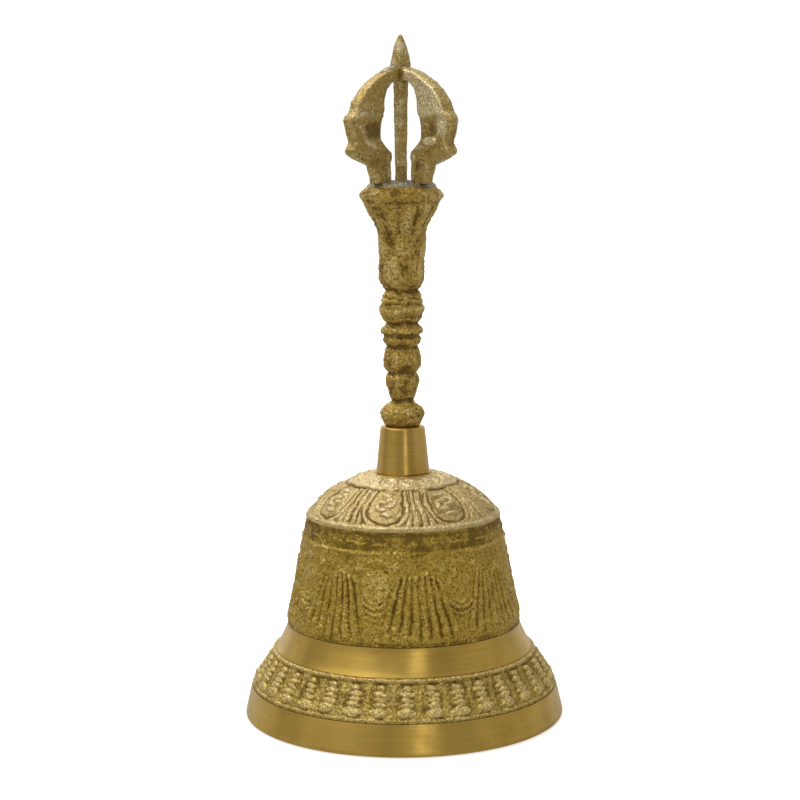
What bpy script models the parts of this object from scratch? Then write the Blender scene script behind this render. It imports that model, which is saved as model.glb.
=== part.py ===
"""Tibetan hand bell: a cast brass bell with a half-vajra handle and a hung clapper.

Metres, +Z up. The origin is the centre of the rim's plane, and the front of the bell faces -Y.
"""

import math

import bmesh
import bpy
from mathutils import Matrix, Vector

# ---------------------------------------------------------------- driving dimensions
MM = 0.001
GAP = 0.3 * MM

LIP_RADIUS = 40.0 * MM
LIP_INNER_RADIUS = 36.4 * MM
CROWN_HEIGHT = 60.9 * MM
CROWN_UNDERSIDE = 57.4 * MM
SHOULDER_HEIGHT = 50.6 * MM
STUD_RADIUS = 1.5 * MM
STUD_BORE_RADIUS = 1.8 * MM

COLLAR_BASE_RADIUS = 6.6 * MM
COLLAR_TOP_RADIUS = 5.6 * MM
COLLAR_TOP = 72.6 * MM
LOTUS_TOP = 131.6 * MM
HANDLE_BORE_TOP = 87.5 * MM
SOLDER_TOP = 133.0 * MM
SOLDER_RADIUS = 7.7 * MM

PRONG_THICKNESS = 3.3 * MM
PRONG_TURN = math.radians(45.0)
PRONG_BEVEL = 0.45 * MM
BAR_FOOT_RADIUS = 1.45 * MM
BAR_TOP_RADIUS = 1.7 * MM
SPIKE_BASE = 160.7 * MM
SPIKE_HALF_WIDTH = 1.85 * MM
SPIKE_TOP = 168.4 * MM

EYE_CENTRE_Z = 48.5 * MM
EYE_RADIUS = 3.0 * MM
EYE_WIRE = 1.0 * MM
LINK_WIRE = 0.8 * MM
LINK_END_RADIUS = 2.7 * MM
LINK_STRAIGHT = 4.4 * MM
ROD_EYE_RADIUS = 2.6 * MM
ROD_EYE_WIRE = 0.9 * MM
ROD_RADIUS = 1.1 * MM
ROD_HEAD_BOTTOM = 1.9 * MM
BOB_RADIUS = 6.4 * MM
BOB_BOTTOM = 3.2 * MM
BOB_TOP = 16.4 * MM

# Hinge points of the clapper: the eye's lower wire, and the link's lower wire.
UPPER_HINGE_Z = EYE_CENTRE_Z - EYE_RADIUS
LINK_TOP_Z = UPPER_HINGE_Z + EYE_WIRE + LINK_WIRE + GAP
LOWER_HINGE_Z = LINK_TOP_Z - LINK_STRAIGHT - 2 * LINK_END_RADIUS
ROD_EYE_TOP_Z = LOWER_HINGE_Z + LINK_WIRE + ROD_EYE_WIRE + GAP
ROD_EYE_Z = ROD_EYE_TOP_Z - ROD_EYE_RADIUS

# (height, radius) in millimetres, from the crown's landing down the outer side to the rim.
BELL_OUTSIDE = (
    (60.9, 7.4), (60.4, 9.4), (59.0, 13.8), (57.3, 17.0), (55.0, 20.0), (52.6, 22.5),
    (51.2, 23.9), (50.6, 24.4), (49.9, 24.5), (46.0, 25.1), (38.0, 26.5), (30.0, 28.15),
    (23.9, 29.5), (23.2, 29.2), (20.0, 30.4), (17.0, 31.9), (16.7, 32.6), (15.8, 33.1),
    (15.4, 32.9), (12.0, 35.3), (9.0, 37.3), (7.9, 38.0), (7.3, 38.5), (4.0, 39.3),
    (0.9, 40.0), (0.0, 39.4),
)
# (height, radius) in millimetres, from the rim up the inner side to the underside of the crown.
BELL_INSIDE = (
    (0.0, 36.4), (5.0, 35.2), (10.0, 33.0), (15.0, 30.2), (20.0, 27.9), (25.0, 26.5),
    (35.0, 24.5), (45.0, 22.4), (49.0, 21.2), (52.5, 18.2), (55.4, 13.6), (57.4, 8.0),
)
# (height, radius) in millimetres, from the lotus cup's top edge down to the bottom bead.
HANDLE_OUTSIDE = (
    (131.6, 8.4), (130.6, 9.6), (129.7, 10.1), (128.7, 9.8), (127.0, 8.9), (125.0, 8.0),
    (123.0, 6.8), (121.0, 6.0), (118.5, 5.7), (114.0, 5.45), (109.0, 5.4), (107.4, 4.8), (106.2, 4.3),
    (104.8, 4.8), (102.2, 5.3), (99.6, 4.9), (98.0, 4.1), (96.9, 5.0), (96.0, 5.2),
    (95.2, 4.5), (93.9, 4.6), (92.4, 4.0), (89.6, 4.6), (87.6, 4.4), (85.9, 3.6),
    (84.2, 4.1), (81.4, 3.5), (78.8, 3.0), (77.4, 4.5), (75.8, 5.5), (74.2, 5.0),
    (72.9, 4.2),
)
# (radius, height) in millimetres, round one outer prong seen from its side.
PRONG_OUTLINE = (
    (5.0, 133.3), (9.4, 133.3), (10.3, 135.7), (10.5, 136.8), (15.4, 138.5), (17.4, 139.6),
    (17.6, 140.5), (16.3, 142.4), (17.1, 144.5), (18.1, 147.5), (17.5, 148.5), (16.2, 149.6),
    (15.2, 152.1), (12.8, 155.0), (10.4, 157.0), (6.8, 158.9), (4.4, 159.8), (2.1, 160.3),
    (2.1, 157.6), (4.6, 156.9), (6.4, 155.3), (7.3, 153.0), (7.5, 150.4), (8.2, 147.0),
    (8.3, 143.2), (6.7, 141.5), (4.8, 140.0), (4.6, 138.8), (5.0, 137.4),
)
# (height, radius) in millimetres, down the clapper bob.
BOB_OUTSIDE = (
    (16.4, 2.0), (16.0, 2.5), (14.6, 2.9), (13.6, 4.2), (11.4, 5.8), (9.0, 6.4), (6.8, 5.9),
    (4.8, 4.4), (3.6, 2.9), (3.2, 2.4),
)


# ---------------------------------------------------------------- scene and materials
def clear_scene():
    """Remove every object that the start-up file holds."""
    for obj in list(bpy.data.objects):
        bpy.data.objects.remove(obj, do_unlink=True)


def make_collection(name, hidden=False):
    """Return a new collection linked to the scene."""
    collection = bpy.data.collections.new(name)
    bpy.context.scene.collection.children.link(collection)
    collection.hide_render = hidden
    return collection


def make_metal(name, colour, roughness, metallic=1.0):
    """Return a Principled material."""
    material = bpy.data.materials.new(name)
    material.use_nodes = True
    shader = material.node_tree.nodes["Principled BSDF"]
    shader.inputs["Base Color"].default_value = (*colour, 1.0)
    shader.inputs["Roughness"].default_value = roughness
    shader.inputs["Metallic"].default_value = metallic
    return material


clear_scene()
PARTS = make_collection("tibetan_bell")
CUTTERS = make_collection("cutters", hidden=True)
CAST_BRASS = make_metal("cast_brass", (0.38, 0.27, 0.10), 0.45)
TURNED_BRASS = make_metal("turned_brass", (0.56, 0.41, 0.17), 0.22)
HANDLE_BRASS = make_metal("handle_brass", (0.34, 0.24, 0.09), 0.50)
SOLDER_GREY = make_metal("solder_grey", (0.42, 0.40, 0.36), 0.55)
STEEL = make_metal("dull_steel", (0.42, 0.41, 0.40), 0.40)
IRON = make_metal("dark_iron", (0.20, 0.18, 0.16), 0.60)


# ---------------------------------------------------------------- shape helpers
def link_object(name, mesh, material, collection=PARTS):
    """Return a new smooth-shaded object that holds the mesh."""
    obj = bpy.data.objects.new(name, mesh)
    collection.objects.link(obj)
    if material is not None:
        mesh.materials.clear()
        mesh.materials.append(material)
    if collection is CUTTERS:
        obj.hide_render = True
        obj.display_type = "WIRE"
    return obj


def smooth(obj, angle=35.0):
    """Shade the object smooth, with sharp edges above the angle in degrees."""
    obj.data.shade_smooth()
    obj.data.set_sharp_from_angle(angle=math.radians(angle))


def turned(name, profile, closed, steps, material, collection=PARTS):
    """Turn a profile of (height, radius) in metres round Z with a Screw modifier.

    The profile runs down the outer side. A closed profile makes a ring, and an open one
    starts and ends on the axis.
    """
    mesh = bpy.data.meshes.new(name)
    points = [(radius, 0.0, height) for height, radius in profile]
    edges = [(i, i + 1) for i in range(len(points) - 1)]
    if closed:
        edges.append((len(points) - 1, 0))
    mesh.from_pydata(points, edges, [])
    obj = link_object(name, mesh, material, collection)
    screw = obj.modifiers.new("turn", "SCREW")
    screw.axis = "Z"
    screw.steps = steps
    screw.render_steps = steps
    screw.use_merge_vertices = True
    screw.merge_threshold = 0.00001
    screw.use_smooth_shade = True
    return obj


def in_metres(profile):
    """Return (height, radius) pairs in metres."""
    return [(height * MM, radius * MM) for height, radius in profile]


def applied(obj):
    """Replace an object's modifiers by their result and return the object."""
    graph = bpy.context.evaluated_depsgraph_get()
    mesh = bpy.data.meshes.new_from_object(obj.evaluated_get(graph))
    obj.modifiers.clear()
    obj.data = mesh
    return obj


def torus(name, centre, radius, wire, turn_axis, material, collection=PARTS):
    """Return a torus whose hole runs along Y, after a quarter turn about X, or along Z."""
    bpy.ops.mesh.primitive_torus_add(
        major_radius=radius, minor_radius=wire, major_segments=28, minor_segments=10
    )
    made = bpy.context.active_object
    mesh = made.data
    mesh.transform(Matrix.Rotation(math.radians(90.0), 4, turn_axis))
    mesh.transform(Matrix.Translation(centre))
    bpy.data.objects.remove(made, do_unlink=True)
    return link_object(name, mesh, material, collection)


def combine(obj, other, operation):
    """Add an exact Boolean of the other object to the object."""
    boolean = obj.modifiers.new(operation.lower(), "BOOLEAN")
    boolean.operation = operation
    boolean.solver = "EXACT"
    boolean.object = other
    return boolean


# ---------------------------------------------------------------- bell
def build_bell():
    """The cast shell: crown, waist and flared lip, open below, with the stud's hole on top."""
    outside = in_metres(BELL_OUTSIDE)
    inside = in_metres(BELL_INSIDE)
    crown = [(CROWN_HEIGHT, STUD_BORE_RADIUS)]
    underside = [(CROWN_UNDERSIDE, STUD_BORE_RADIUS)]
    return turned("bell_body", crown + outside + inside + underside, True, 60, CAST_BRASS)


def build_collar():
    """The tapered ferrule between crown and handle."""
    base = CROWN_HEIGHT + GAP
    profile = (
        (COLLAR_TOP, STUD_BORE_RADIUS),
        (COLLAR_TOP, COLLAR_TOP_RADIUS - 0.6 * MM),
        (COLLAR_TOP - 0.5 * MM, COLLAR_TOP_RADIUS - 0.1 * MM),
        (COLLAR_TOP - 1.2 * MM, COLLAR_TOP_RADIUS),
        (base + 0.4 * MM, COLLAR_BASE_RADIUS),
        (base, COLLAR_BASE_RADIUS - 0.2 * MM),
        (base, STUD_BORE_RADIUS),
    )
    return turned("neck_collar", profile, True, 40, TURNED_BRASS)


def build_handle():
    """The handle's casting, from the lotus cup to the bottom bead, with a blind bore below."""
    bottom = HANDLE_OUTSIDE[-1][0] * MM
    profile = [(LOTUS_TOP, 0.0)] + in_metres(HANDLE_OUTSIDE)
    profile += [(bottom, STUD_BORE_RADIUS), (HANDLE_BORE_TOP, STUD_BORE_RADIUS)]
    profile += [(HANDLE_BORE_TOP, 0.0)]
    return turned("handle_grip", profile, False, 28, HANDLE_BRASS)


# ---------------------------------------------------------------- half vajra
def build_solder():
    """The low bed of solder on the lotus cup, in which the prongs stand."""
    base = LOTUS_TOP + GAP
    profile = (
        (SOLDER_TOP, 0.0),
        (SOLDER_TOP, SOLDER_RADIUS - 1.0 * MM),
        (SOLDER_TOP - 0.5 * MM, SOLDER_RADIUS),
        (base, SOLDER_RADIUS + 0.4 * MM),
        (base, 0.0),
    )
    return turned("base_solder", profile, False, 32, SOLDER_GREY)


def build_centre_prong():
    """The central bar with a collared, four-sided spike that is turned like the prongs."""
    foot = SOLDER_TOP + GAP
    mesh = bpy.data.meshes.new("centre_prong")
    cage = bmesh.new()
    bar = bmesh.ops.create_cone(
        cage, cap_ends=True, segments=16, radius1=BAR_FOOT_RADIUS, radius2=BAR_TOP_RADIUS,
        depth=SPIKE_BASE - foot,
    )
    bmesh.ops.translate(cage, verts=bar["verts"], vec=(0, 0, (SPIKE_BASE + foot) / 2))
    top = max(cage.faces, key=lambda face: face.calc_center_median().z)
    for height, half_width in ((0.0, 1.0), (0.35, 0.82), (0.7, 0.5), (0.93, 0.2), (1.0, 0.06)):
        grown = bmesh.ops.extrude_face_region(cage, geom=[top])
        ring = [item for item in grown["geom"] if isinstance(item, bmesh.types.BMVert)]
        bmesh.ops.delete(cage, geom=[top], context="FACES_ONLY")
        top = next(item for item in grown["geom"] if isinstance(item, bmesh.types.BMFace))
        level = SPIKE_BASE + height * (SPIKE_TOP - SPIKE_BASE)
        for vert in ring:
            turn = math.atan2(vert.co.y, vert.co.x)
            reach = SPIKE_HALF_WIDTH * half_width / max(
                abs(math.cos(turn)), abs(math.sin(turn))
            )
            vert.co = Vector((reach * math.cos(turn), reach * math.sin(turn), level))
    bmesh.ops.rotate(
        cage, verts=cage.verts, cent=(0, 0, 0), matrix=Matrix.Rotation(PRONG_TURN, 3, "Z")
    )
    bmesh.ops.recalc_face_normals(cage, faces=cage.faces)
    cage.to_mesh(mesh)
    cage.free()
    obj = link_object("centre_prong", mesh, HANDLE_BRASS)
    smooth(obj, 30.0)
    return obj


def prong_mesh():
    """A flat outline with thickness, made a mesh with welded caps, in the XZ plane."""
    curve = bpy.data.curves.new("prong_outline", "CURVE")
    curve.dimensions = "2D"
    curve.fill_mode = "BOTH"
    curve.extrude = PRONG_THICKNESS / 2
    spline = curve.splines.new("POLY")
    spline.points.add(len(PRONG_OUTLINE) - 1)
    for point, (radius, height) in zip(spline.points, PRONG_OUTLINE, strict=True):
        point.co = (radius * MM, height * MM, 0.0, 1.0)
    spline.use_cyclic_u = True
    guide = bpy.data.objects.new("prong_guide", curve)
    PARTS.objects.link(guide)
    graph = bpy.context.evaluated_depsgraph_get()
    mesh = bpy.data.meshes.new_from_object(guide.evaluated_get(graph))
    bpy.data.objects.remove(guide, do_unlink=True)
    welded = bmesh.new()
    welded.from_mesh(mesh)
    bmesh.ops.remove_doubles(welded, verts=welded.verts, dist=0.000005)
    bmesh.ops.rotate(
        welded, verts=welded.verts, cent=(0, 0, 0),
        matrix=Matrix.Rotation(math.radians(90.0), 3, "X"),
    )
    bmesh.ops.recalc_face_normals(welded, faces=welded.faces)
    welded.to_mesh(mesh)
    welded.free()
    return mesh


def build_prongs():
    """Four copies of the toothed prong round the central bar."""
    shape = prong_mesh()
    shape.materials.append(HANDLE_BRASS)
    names = ("prong_back_right", "prong_back_left", "prong_front_left", "prong_front_right")
    for index, name in enumerate(names):
        obj = bpy.data.objects.new(name, shape)
        PARTS.objects.link(obj)
        obj.rotation_euler = (0.0, 0.0, PRONG_TURN + index * math.pi / 2)
        bevel = obj.modifiers.new("soft_edges", "BEVEL")
        bevel.width = PRONG_BEVEL
        bevel.segments = 1
        bevel.limit_method = "ANGLE"
        bevel.angle_limit = math.radians(60.0)


# ---------------------------------------------------------------- clapper and its suspension
def build_eye_bolt():
    """The stud through crown and collar into the handle, with the eye that carries the link."""
    top = HANDLE_BORE_TOP - 0.8 * MM
    bottom = EYE_CENTRE_Z + EYE_RADIUS
    shank_profile = (
        (top, 0.0),
        (top, STUD_RADIUS - 0.3 * MM),
        (top - 0.4 * MM, STUD_RADIUS),
        (bottom, STUD_RADIUS),
        (bottom, 0.0),
    )
    shank = turned("eye_bolt", shank_profile, False, 16, STEEL)
    eye = torus(
        "eye_bolt_ring", (0.0, 0.0, EYE_CENTRE_Z), EYE_RADIUS, EYE_WIRE, "X", STEEL, CUTTERS
    )
    combine(shank, eye, "UNION")
    return shank


def build_crown_hardware():
    """The washer and the hexagonal nut that clamp the stud under the crown."""
    washer_top = CROWN_UNDERSIDE - GAP
    washer_bottom = washer_top - 0.9 * MM
    washer_profile = (
        (washer_top, STUD_BORE_RADIUS),
        (washer_top, 4.4 * MM),
        (washer_bottom, 4.4 * MM),
        (washer_bottom, STUD_BORE_RADIUS),
    )
    turned("crown_washer", washer_profile, True, 32, STEEL)

    nut_top = washer_bottom - GAP
    nut_height = 2.4 * MM
    mesh = bpy.data.meshes.new("crown_nut")
    prism = bmesh.new()
    bmesh.ops.create_cone(
        prism, cap_ends=True, segments=6, radius1=3.18 * MM, radius2=3.18 * MM,
        depth=nut_height,
    )
    bmesh.ops.translate(prism, verts=prism.verts, vec=(0, 0, nut_top - nut_height / 2))
    prism.to_mesh(mesh)
    prism.free()
    nut = link_object("crown_nut", mesh, STEEL)
    bore_mesh = bpy.data.meshes.new("nut_bore")
    bore = bmesh.new()
    bmesh.ops.create_cone(
        bore, cap_ends=True, segments=20, radius1=STUD_BORE_RADIUS, radius2=STUD_BORE_RADIUS,
        depth=2 * nut_height,
    )
    bmesh.ops.translate(bore, verts=bore.verts, vec=(0, 0, nut_top - nut_height / 2))
    bore.to_mesh(bore_mesh)
    bore.free()
    combine(nut, link_object("nut_bore", bore_mesh, None, CUTTERS), "DIFFERENCE")


def build_link(hinge):
    """The closed link, a long ring of round wire in the YZ plane."""
    curve = bpy.data.curves.new("swing_link", "CURVE")
    curve.dimensions = "3D"
    curve.bevel_depth = LINK_WIRE
    curve.bevel_resolution = 2
    points = []
    middle = (LINK_TOP_Z - LINK_END_RADIUS + LOWER_HINGE_Z + LINK_END_RADIUS) / 2
    for side in (1, -1):
        centre = middle + side * LINK_STRAIGHT / 2
        for step in range(9):
            turn = math.pi * step / 8
            y = side * LINK_END_RADIUS * math.cos(turn)
            points.append((0.0, y, centre + side * LINK_END_RADIUS * math.sin(turn)))
    spline = curve.splines.new("POLY")
    spline.points.add(len(points) - 1)
    for point, place in zip(spline.points, points, strict=True):
        point.co = (place[0], place[1], place[2] - UPPER_HINGE_Z, 1.0)
    spline.use_cyclic_u = True
    curve.materials.append(IRON)
    obj = bpy.data.objects.new("swing_link", curve)
    PARTS.objects.link(obj)
    obj.parent = hinge
    return obj


def build_clapper(hinge):
    """The rod with its eye and peened head, and the bob that it carries."""
    head_top = ROD_HEAD_BOTTOM + 1.0 * MM
    eye_bottom = ROD_EYE_Z - ROD_EYE_RADIUS
    rod_profile = (
        (eye_bottom, 0.0),
        (eye_bottom, ROD_RADIUS),
        (19.0 * MM, ROD_RADIUS + 0.1 * MM),
        (18.4 * MM, 2.0 * MM),
        (BOB_TOP + GAP, 2.0 * MM),
        (BOB_TOP + GAP, ROD_RADIUS),
        (head_top, ROD_RADIUS),
        (head_top, 2.1 * MM),
        (ROD_HEAD_BOTTOM + 0.3 * MM, 1.9 * MM),
        (ROD_HEAD_BOTTOM, 1.2 * MM),
        (ROD_HEAD_BOTTOM, 0.0),
    )
    rod = turned("clapper_rod", rod_profile, False, 16, IRON)
    eye = torus(
        "clapper_eye", (0.0, 0.0, ROD_EYE_Z), ROD_EYE_RADIUS, ROD_EYE_WIRE, "X", IRON, CUTTERS
    )
    combine(rod, eye, "UNION")
    bore = ROD_RADIUS + GAP
    bob_profile = [(BOB_TOP, bore)] + in_metres(BOB_OUTSIDE) + [(BOB_BOTTOM, bore)]
    bob = turned("clapper_bob", bob_profile, True, 32, TURNED_BRASS)
    for obj in (rod, bob):
        place_on(obj, hinge)


def place_on(obj, hinge):
    """Parent an object to a hinge empty and keep it where it is."""
    obj.parent = hinge
    obj.matrix_parent_inverse = Matrix.Translation(hinge_point(hinge)).inverted()


def hinge_point(hinge):
    """Return a hinge empty's place in the world."""
    point = hinge.location.copy()
    while hinge.parent:
        hinge = hinge.parent
        point += hinge.location
    return point


def make_hinge(name, height, parent=None):
    """Return an empty on a joint's axis."""
    empty = bpy.data.objects.new(name, None)
    empty.empty_display_size = 0.004
    empty.location = (0.0, 0.0, height - (hinge_point(parent).z if parent else 0.0))
    empty.parent = parent
    PARTS.objects.link(empty)
    return empty


def main():
    """Build every piece of the bell."""
    build_bell()
    build_collar()
    build_handle()
    build_solder()
    build_centre_prong()
    build_prongs()
    build_eye_bolt()
    build_crown_hardware()
    upper = make_hinge("upper_hinge", UPPER_HINGE_Z)
    lower = make_hinge("lower_hinge", LOWER_HINGE_Z, upper)
    build_link(upper)
    build_clapper(lower)


main()
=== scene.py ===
"""Tibetan hand bell with a half-vajra handle, in studio light.

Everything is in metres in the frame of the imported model: the origin is the centre of the
rim's plane, +Z runs up the bell's axis and the front faces -Y. Sizes in the classes below
are in millimetres and are turned into metres when a mesh is made.
"""

from __future__ import annotations

import logging
import math
from abc import ABC, abstractmethod
from dataclasses import dataclass, field
from enum import Enum

import bmesh
import bpy
import numpy as np
from mathutils import Matrix, Vector

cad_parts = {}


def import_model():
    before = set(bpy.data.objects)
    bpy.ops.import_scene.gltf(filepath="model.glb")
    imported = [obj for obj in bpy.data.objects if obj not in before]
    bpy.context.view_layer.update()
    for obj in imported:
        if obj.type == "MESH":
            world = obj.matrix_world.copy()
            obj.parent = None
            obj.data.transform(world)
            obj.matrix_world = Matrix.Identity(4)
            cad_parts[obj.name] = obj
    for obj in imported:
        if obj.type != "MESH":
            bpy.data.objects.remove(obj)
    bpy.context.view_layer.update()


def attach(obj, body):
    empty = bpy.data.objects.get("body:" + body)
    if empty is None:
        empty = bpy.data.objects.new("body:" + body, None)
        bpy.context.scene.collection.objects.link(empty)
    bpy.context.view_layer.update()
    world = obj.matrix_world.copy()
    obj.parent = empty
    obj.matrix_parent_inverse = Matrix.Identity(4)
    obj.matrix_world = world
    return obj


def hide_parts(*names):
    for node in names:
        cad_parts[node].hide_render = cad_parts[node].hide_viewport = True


MM = 0.001
FULL_TURN = 2.0 * math.pi
BORE = 1.8  # radius in millimetres of the stud's hole
SMOOTH = 180.0  # no edge is sharper than this, in degrees
CURVE_SAMPLES = 24  # samples of a smooth run between two of its points
LOG = logging.getLogger("tibetan_bell")

Point = tuple[float, float]
Colour = tuple[float, float, float]


class Body(Enum):
    """The rigid bodies that pieces ride on."""

    BELL = "bell"
    LINK = "link"
    CLAPPER = "clapper"


class Slot(Enum):
    """Finish names for the pieces."""

    CAST = "cast_brass"
    TURNED = "turned_brass"
    HANDLE = "handle_brass"
    SOLDER = "solder"
    STEEL = "steel"
    IRON = "iron"


# --------------------------------------------------------------------------- node wiring
class Field:
    """A number that varies over a surface, as an output socket with arithmetic."""

    def __init__(self, graph: Graph, socket: bpy.types.NodeSocket) -> None:
        """Keep the graph and the socket that carries the number."""
        self.graph = graph
        self.socket = socket

    def __add__(self, other: Field | float) -> Field:
        """Sum."""
        return self.graph.math("ADD", self, other)

    def __sub__(self, other: Field | float) -> Field:
        """Difference."""
        return self.graph.math("SUBTRACT", self, other)

    def __rsub__(self, other: float) -> Field:
        """Difference from a plain number."""
        return self.graph.math("SUBTRACT", other, self)

    def __mul__(self, other: Field | float) -> Field:
        """Product."""
        return self.graph.math("MULTIPLY", self, other)

    def __truediv__(self, other: Field | float) -> Field:
        """Quotient."""
        return self.graph.math("DIVIDE", self, other)

    __radd__ = __add__
    __rmul__ = __mul__

    def abs(self) -> Field:
        """Absolute value."""
        return self.graph.math("ABSOLUTE", self)

    def power(self, exponent: Field | float) -> Field:
        """Power."""
        return self.graph.math("POWER", self, exponent)

    def root(self) -> Field:
        """Square root."""
        return self.graph.math("SQRT", self)

    def sin(self) -> Field:
        """Sine of an angle in radians."""
        return self.graph.math("SINE", self)

    def cos(self) -> Field:
        """Cosine of an angle in radians."""
        return self.graph.math("COSINE", self)

    def fract(self) -> Field:
        """What is left after the whole part."""
        return self.graph.math("FRACT", self)

    def whole(self) -> Field:
        """The whole part, rounded down."""
        return self.graph.math("FLOOR", self)

    def top(self, other: Field | float) -> Field:
        """The larger of two numbers."""
        return self.graph.math("MAXIMUM", self, other)

    def low(self, other: Field | float) -> Field:
        """The smaller of two numbers."""
        return self.graph.math("MINIMUM", self, other)

    def melt(self, other: Field | float, reach: float) -> Field:
        """The larger of two numbers, blended where they are within the reach."""
        return self.graph.math("SMOOTH_MAX", self, other, reach)

    def rise(self, start: float, end: float) -> Field:
        """Smooth step from 0 at the start to 1 at the end; the start may be above the end.

        Args:
            start: value at which the step begins.
            end: value at which the step has finished.

        Returns:
            The step as a field between 0 and 1.
        """
        inputs = {"Value": self, "From Min": start, "From Max": end}
        made = self.graph.wired("ShaderNodeMapRange", inputs, interpolation_type="SMOOTHSTEP")
        return Field(self.graph, made.outputs["Result"])

    def ridge(self, centre: float, half_width: float) -> Field:
        """A smooth hump of height 1 round the centre, down to 0 at the half width."""
        return ((self - centre).abs()).rise(half_width, 0.0)

    def between(self, start: float, end: float, soft: float) -> Field:
        """A mask that is 1 from the start to the end, with soft flanks outside them."""
        return self.rise(start - soft, start) * self.rise(end + soft, end)


class Graph:
    """A node tree that is being wired."""

    def __init__(self, tree: bpy.types.NodeTree) -> None:
        """Keep the tree."""
        self.tree = tree

    def node(self, kind: str, **settings: object) -> bpy.types.Node:
        """Add a node.

        Args:
            kind: the node's type name.
            **settings: properties to set on it.

        Returns:
            The new node.
        """
        made = self.tree.nodes.new(kind)
        for name, value in settings.items():
            setattr(made, name, value)
        return made

    def feed(self, socket: bpy.types.NodeSocket, value: object) -> None:
        """Link a field or a socket to an input, or set the input to a plain value.

        Args:
            socket: the input.
            value: the field, socket or plain value.
        """
        if isinstance(value, (Field, bpy.types.NodeSocket)):
            self.tree.links.new(getattr(value, "socket", value), socket)
        else:
            socket.default_value = value

    def fill(self, node: bpy.types.Node, inputs: dict[str | int, object]) -> bpy.types.Node:
        """Feed several of a node's inputs.

        Args:
            node: the node.
            inputs: what each input gets, by the input's name or place.

        Returns:
            The same node.
        """
        for name, value in inputs.items():
            self.feed(node.inputs[name], value)
        return node

    def wired(
        self, kind: str, inputs: dict[str | int, object], **settings: object
    ) -> bpy.types.Node:
        """Add a node with these properties and feed its inputs."""
        return self.fill(self.node(kind, **settings), inputs)

    def math(self, operation: str, *values: Field | float) -> Field:
        """Add a Math node and return its result."""
        made = self.wired("ShaderNodeMath", dict(enumerate(values)), operation=operation)
        return Field(self, made.outputs[0])

    def vector(self, x: Field | float, y: Field | float, z: Field | float) -> bpy.types.NodeSocket:
        """Join three numbers to a vector."""
        return self.wired("ShaderNodeCombineXYZ", {0: x, 1: y, 2: z}).outputs[0]

    def split(self, socket: bpy.types.NodeSocket) -> tuple[Field, Field, Field]:
        """Split a vector into its three numbers."""
        made = self.wired("ShaderNodeSeparateXYZ", {0: socket})
        return tuple(Field(self, out) for out in made.outputs)

    def noise(
        self,
        where: bpy.types.NodeSocket,
        scale: float,
        detail: float = 2.0,
        rough: float = 0.5,
        seed: Field | float = 0.0,
    ) -> Field:
        """Smooth noise between 0 and 1.

        Args:
            where: the place to read it at.
            scale: cells for each unit of place.
            detail: octaves on top of the first.
            rough: weight of those octaves.
            seed: fourth coordinate, which picks the pattern.

        Returns:
            The noise as a field.
        """
        inputs = {"Vector": where, "W": seed, "Scale": scale, "Detail": detail, "Roughness": rough}
        made = self.wired("ShaderNodeTexNoise", inputs, noise_dimensions="4D")
        return Field(self, made.outputs[0])

    def mix(self, share: Field | float, first: object, second: object) -> bpy.types.NodeSocket:
        """Mix two colours, each a socket or a colour with alpha; a share of 1 is the second."""
        inputs = {0: share, 6: first, 7: second}
        return self.wired("ShaderNodeMix", inputs, data_type="RGBA").outputs[2]

    def bump(self, height: object, strength: float, depth: float) -> bpy.types.NodeSocket:
        """Turn a height into a normal; the depth is in millimetres."""
        inputs = {"Height": height, "Strength": strength, "Distance": depth * MM}
        return self.wired("ShaderNodeBump", inputs).outputs["Normal"]


def open_tree(
    name: str, kind: str, takes: dict[str, object], gives: dict[str, str]
) -> tuple[Graph, bpy.types.Node, bpy.types.Node, dict[str, str]]:
    """Start a node group with named inputs and outputs.

    Args:
        name: the group's name.
        kind: ShaderNodeTree or GeometryNodeTree.
        takes: each input's default number or colour, or the kind of its socket.
        gives: the kind of each output's socket.

    Returns:
        The group's graph, its input node, its output node and its inputs' identifiers.
    """
    tree = bpy.data.node_groups.new(name, kind)
    if kind == "GeometryNodeTree":
        tree.is_modifier = True
    keys = {}
    for label, value in takes.items():
        plain = {float: "Float", tuple: "Color"}.get(type(value), value)
        made = tree.interface.new_socket(
            name=label, in_out="INPUT", socket_type=f"NodeSocket{plain}"
        )
        if not isinstance(value, str):
            made.default_value = value
        keys[label] = made.identifier
    for label, plain in gives.items():
        tree.interface.new_socket(name=label, in_out="OUTPUT", socket_type=f"NodeSocket{plain}")
    graph = Graph(tree)
    return graph, graph.node("NodeGroupInput"), graph.node("NodeGroupOutput"), keys


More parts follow.
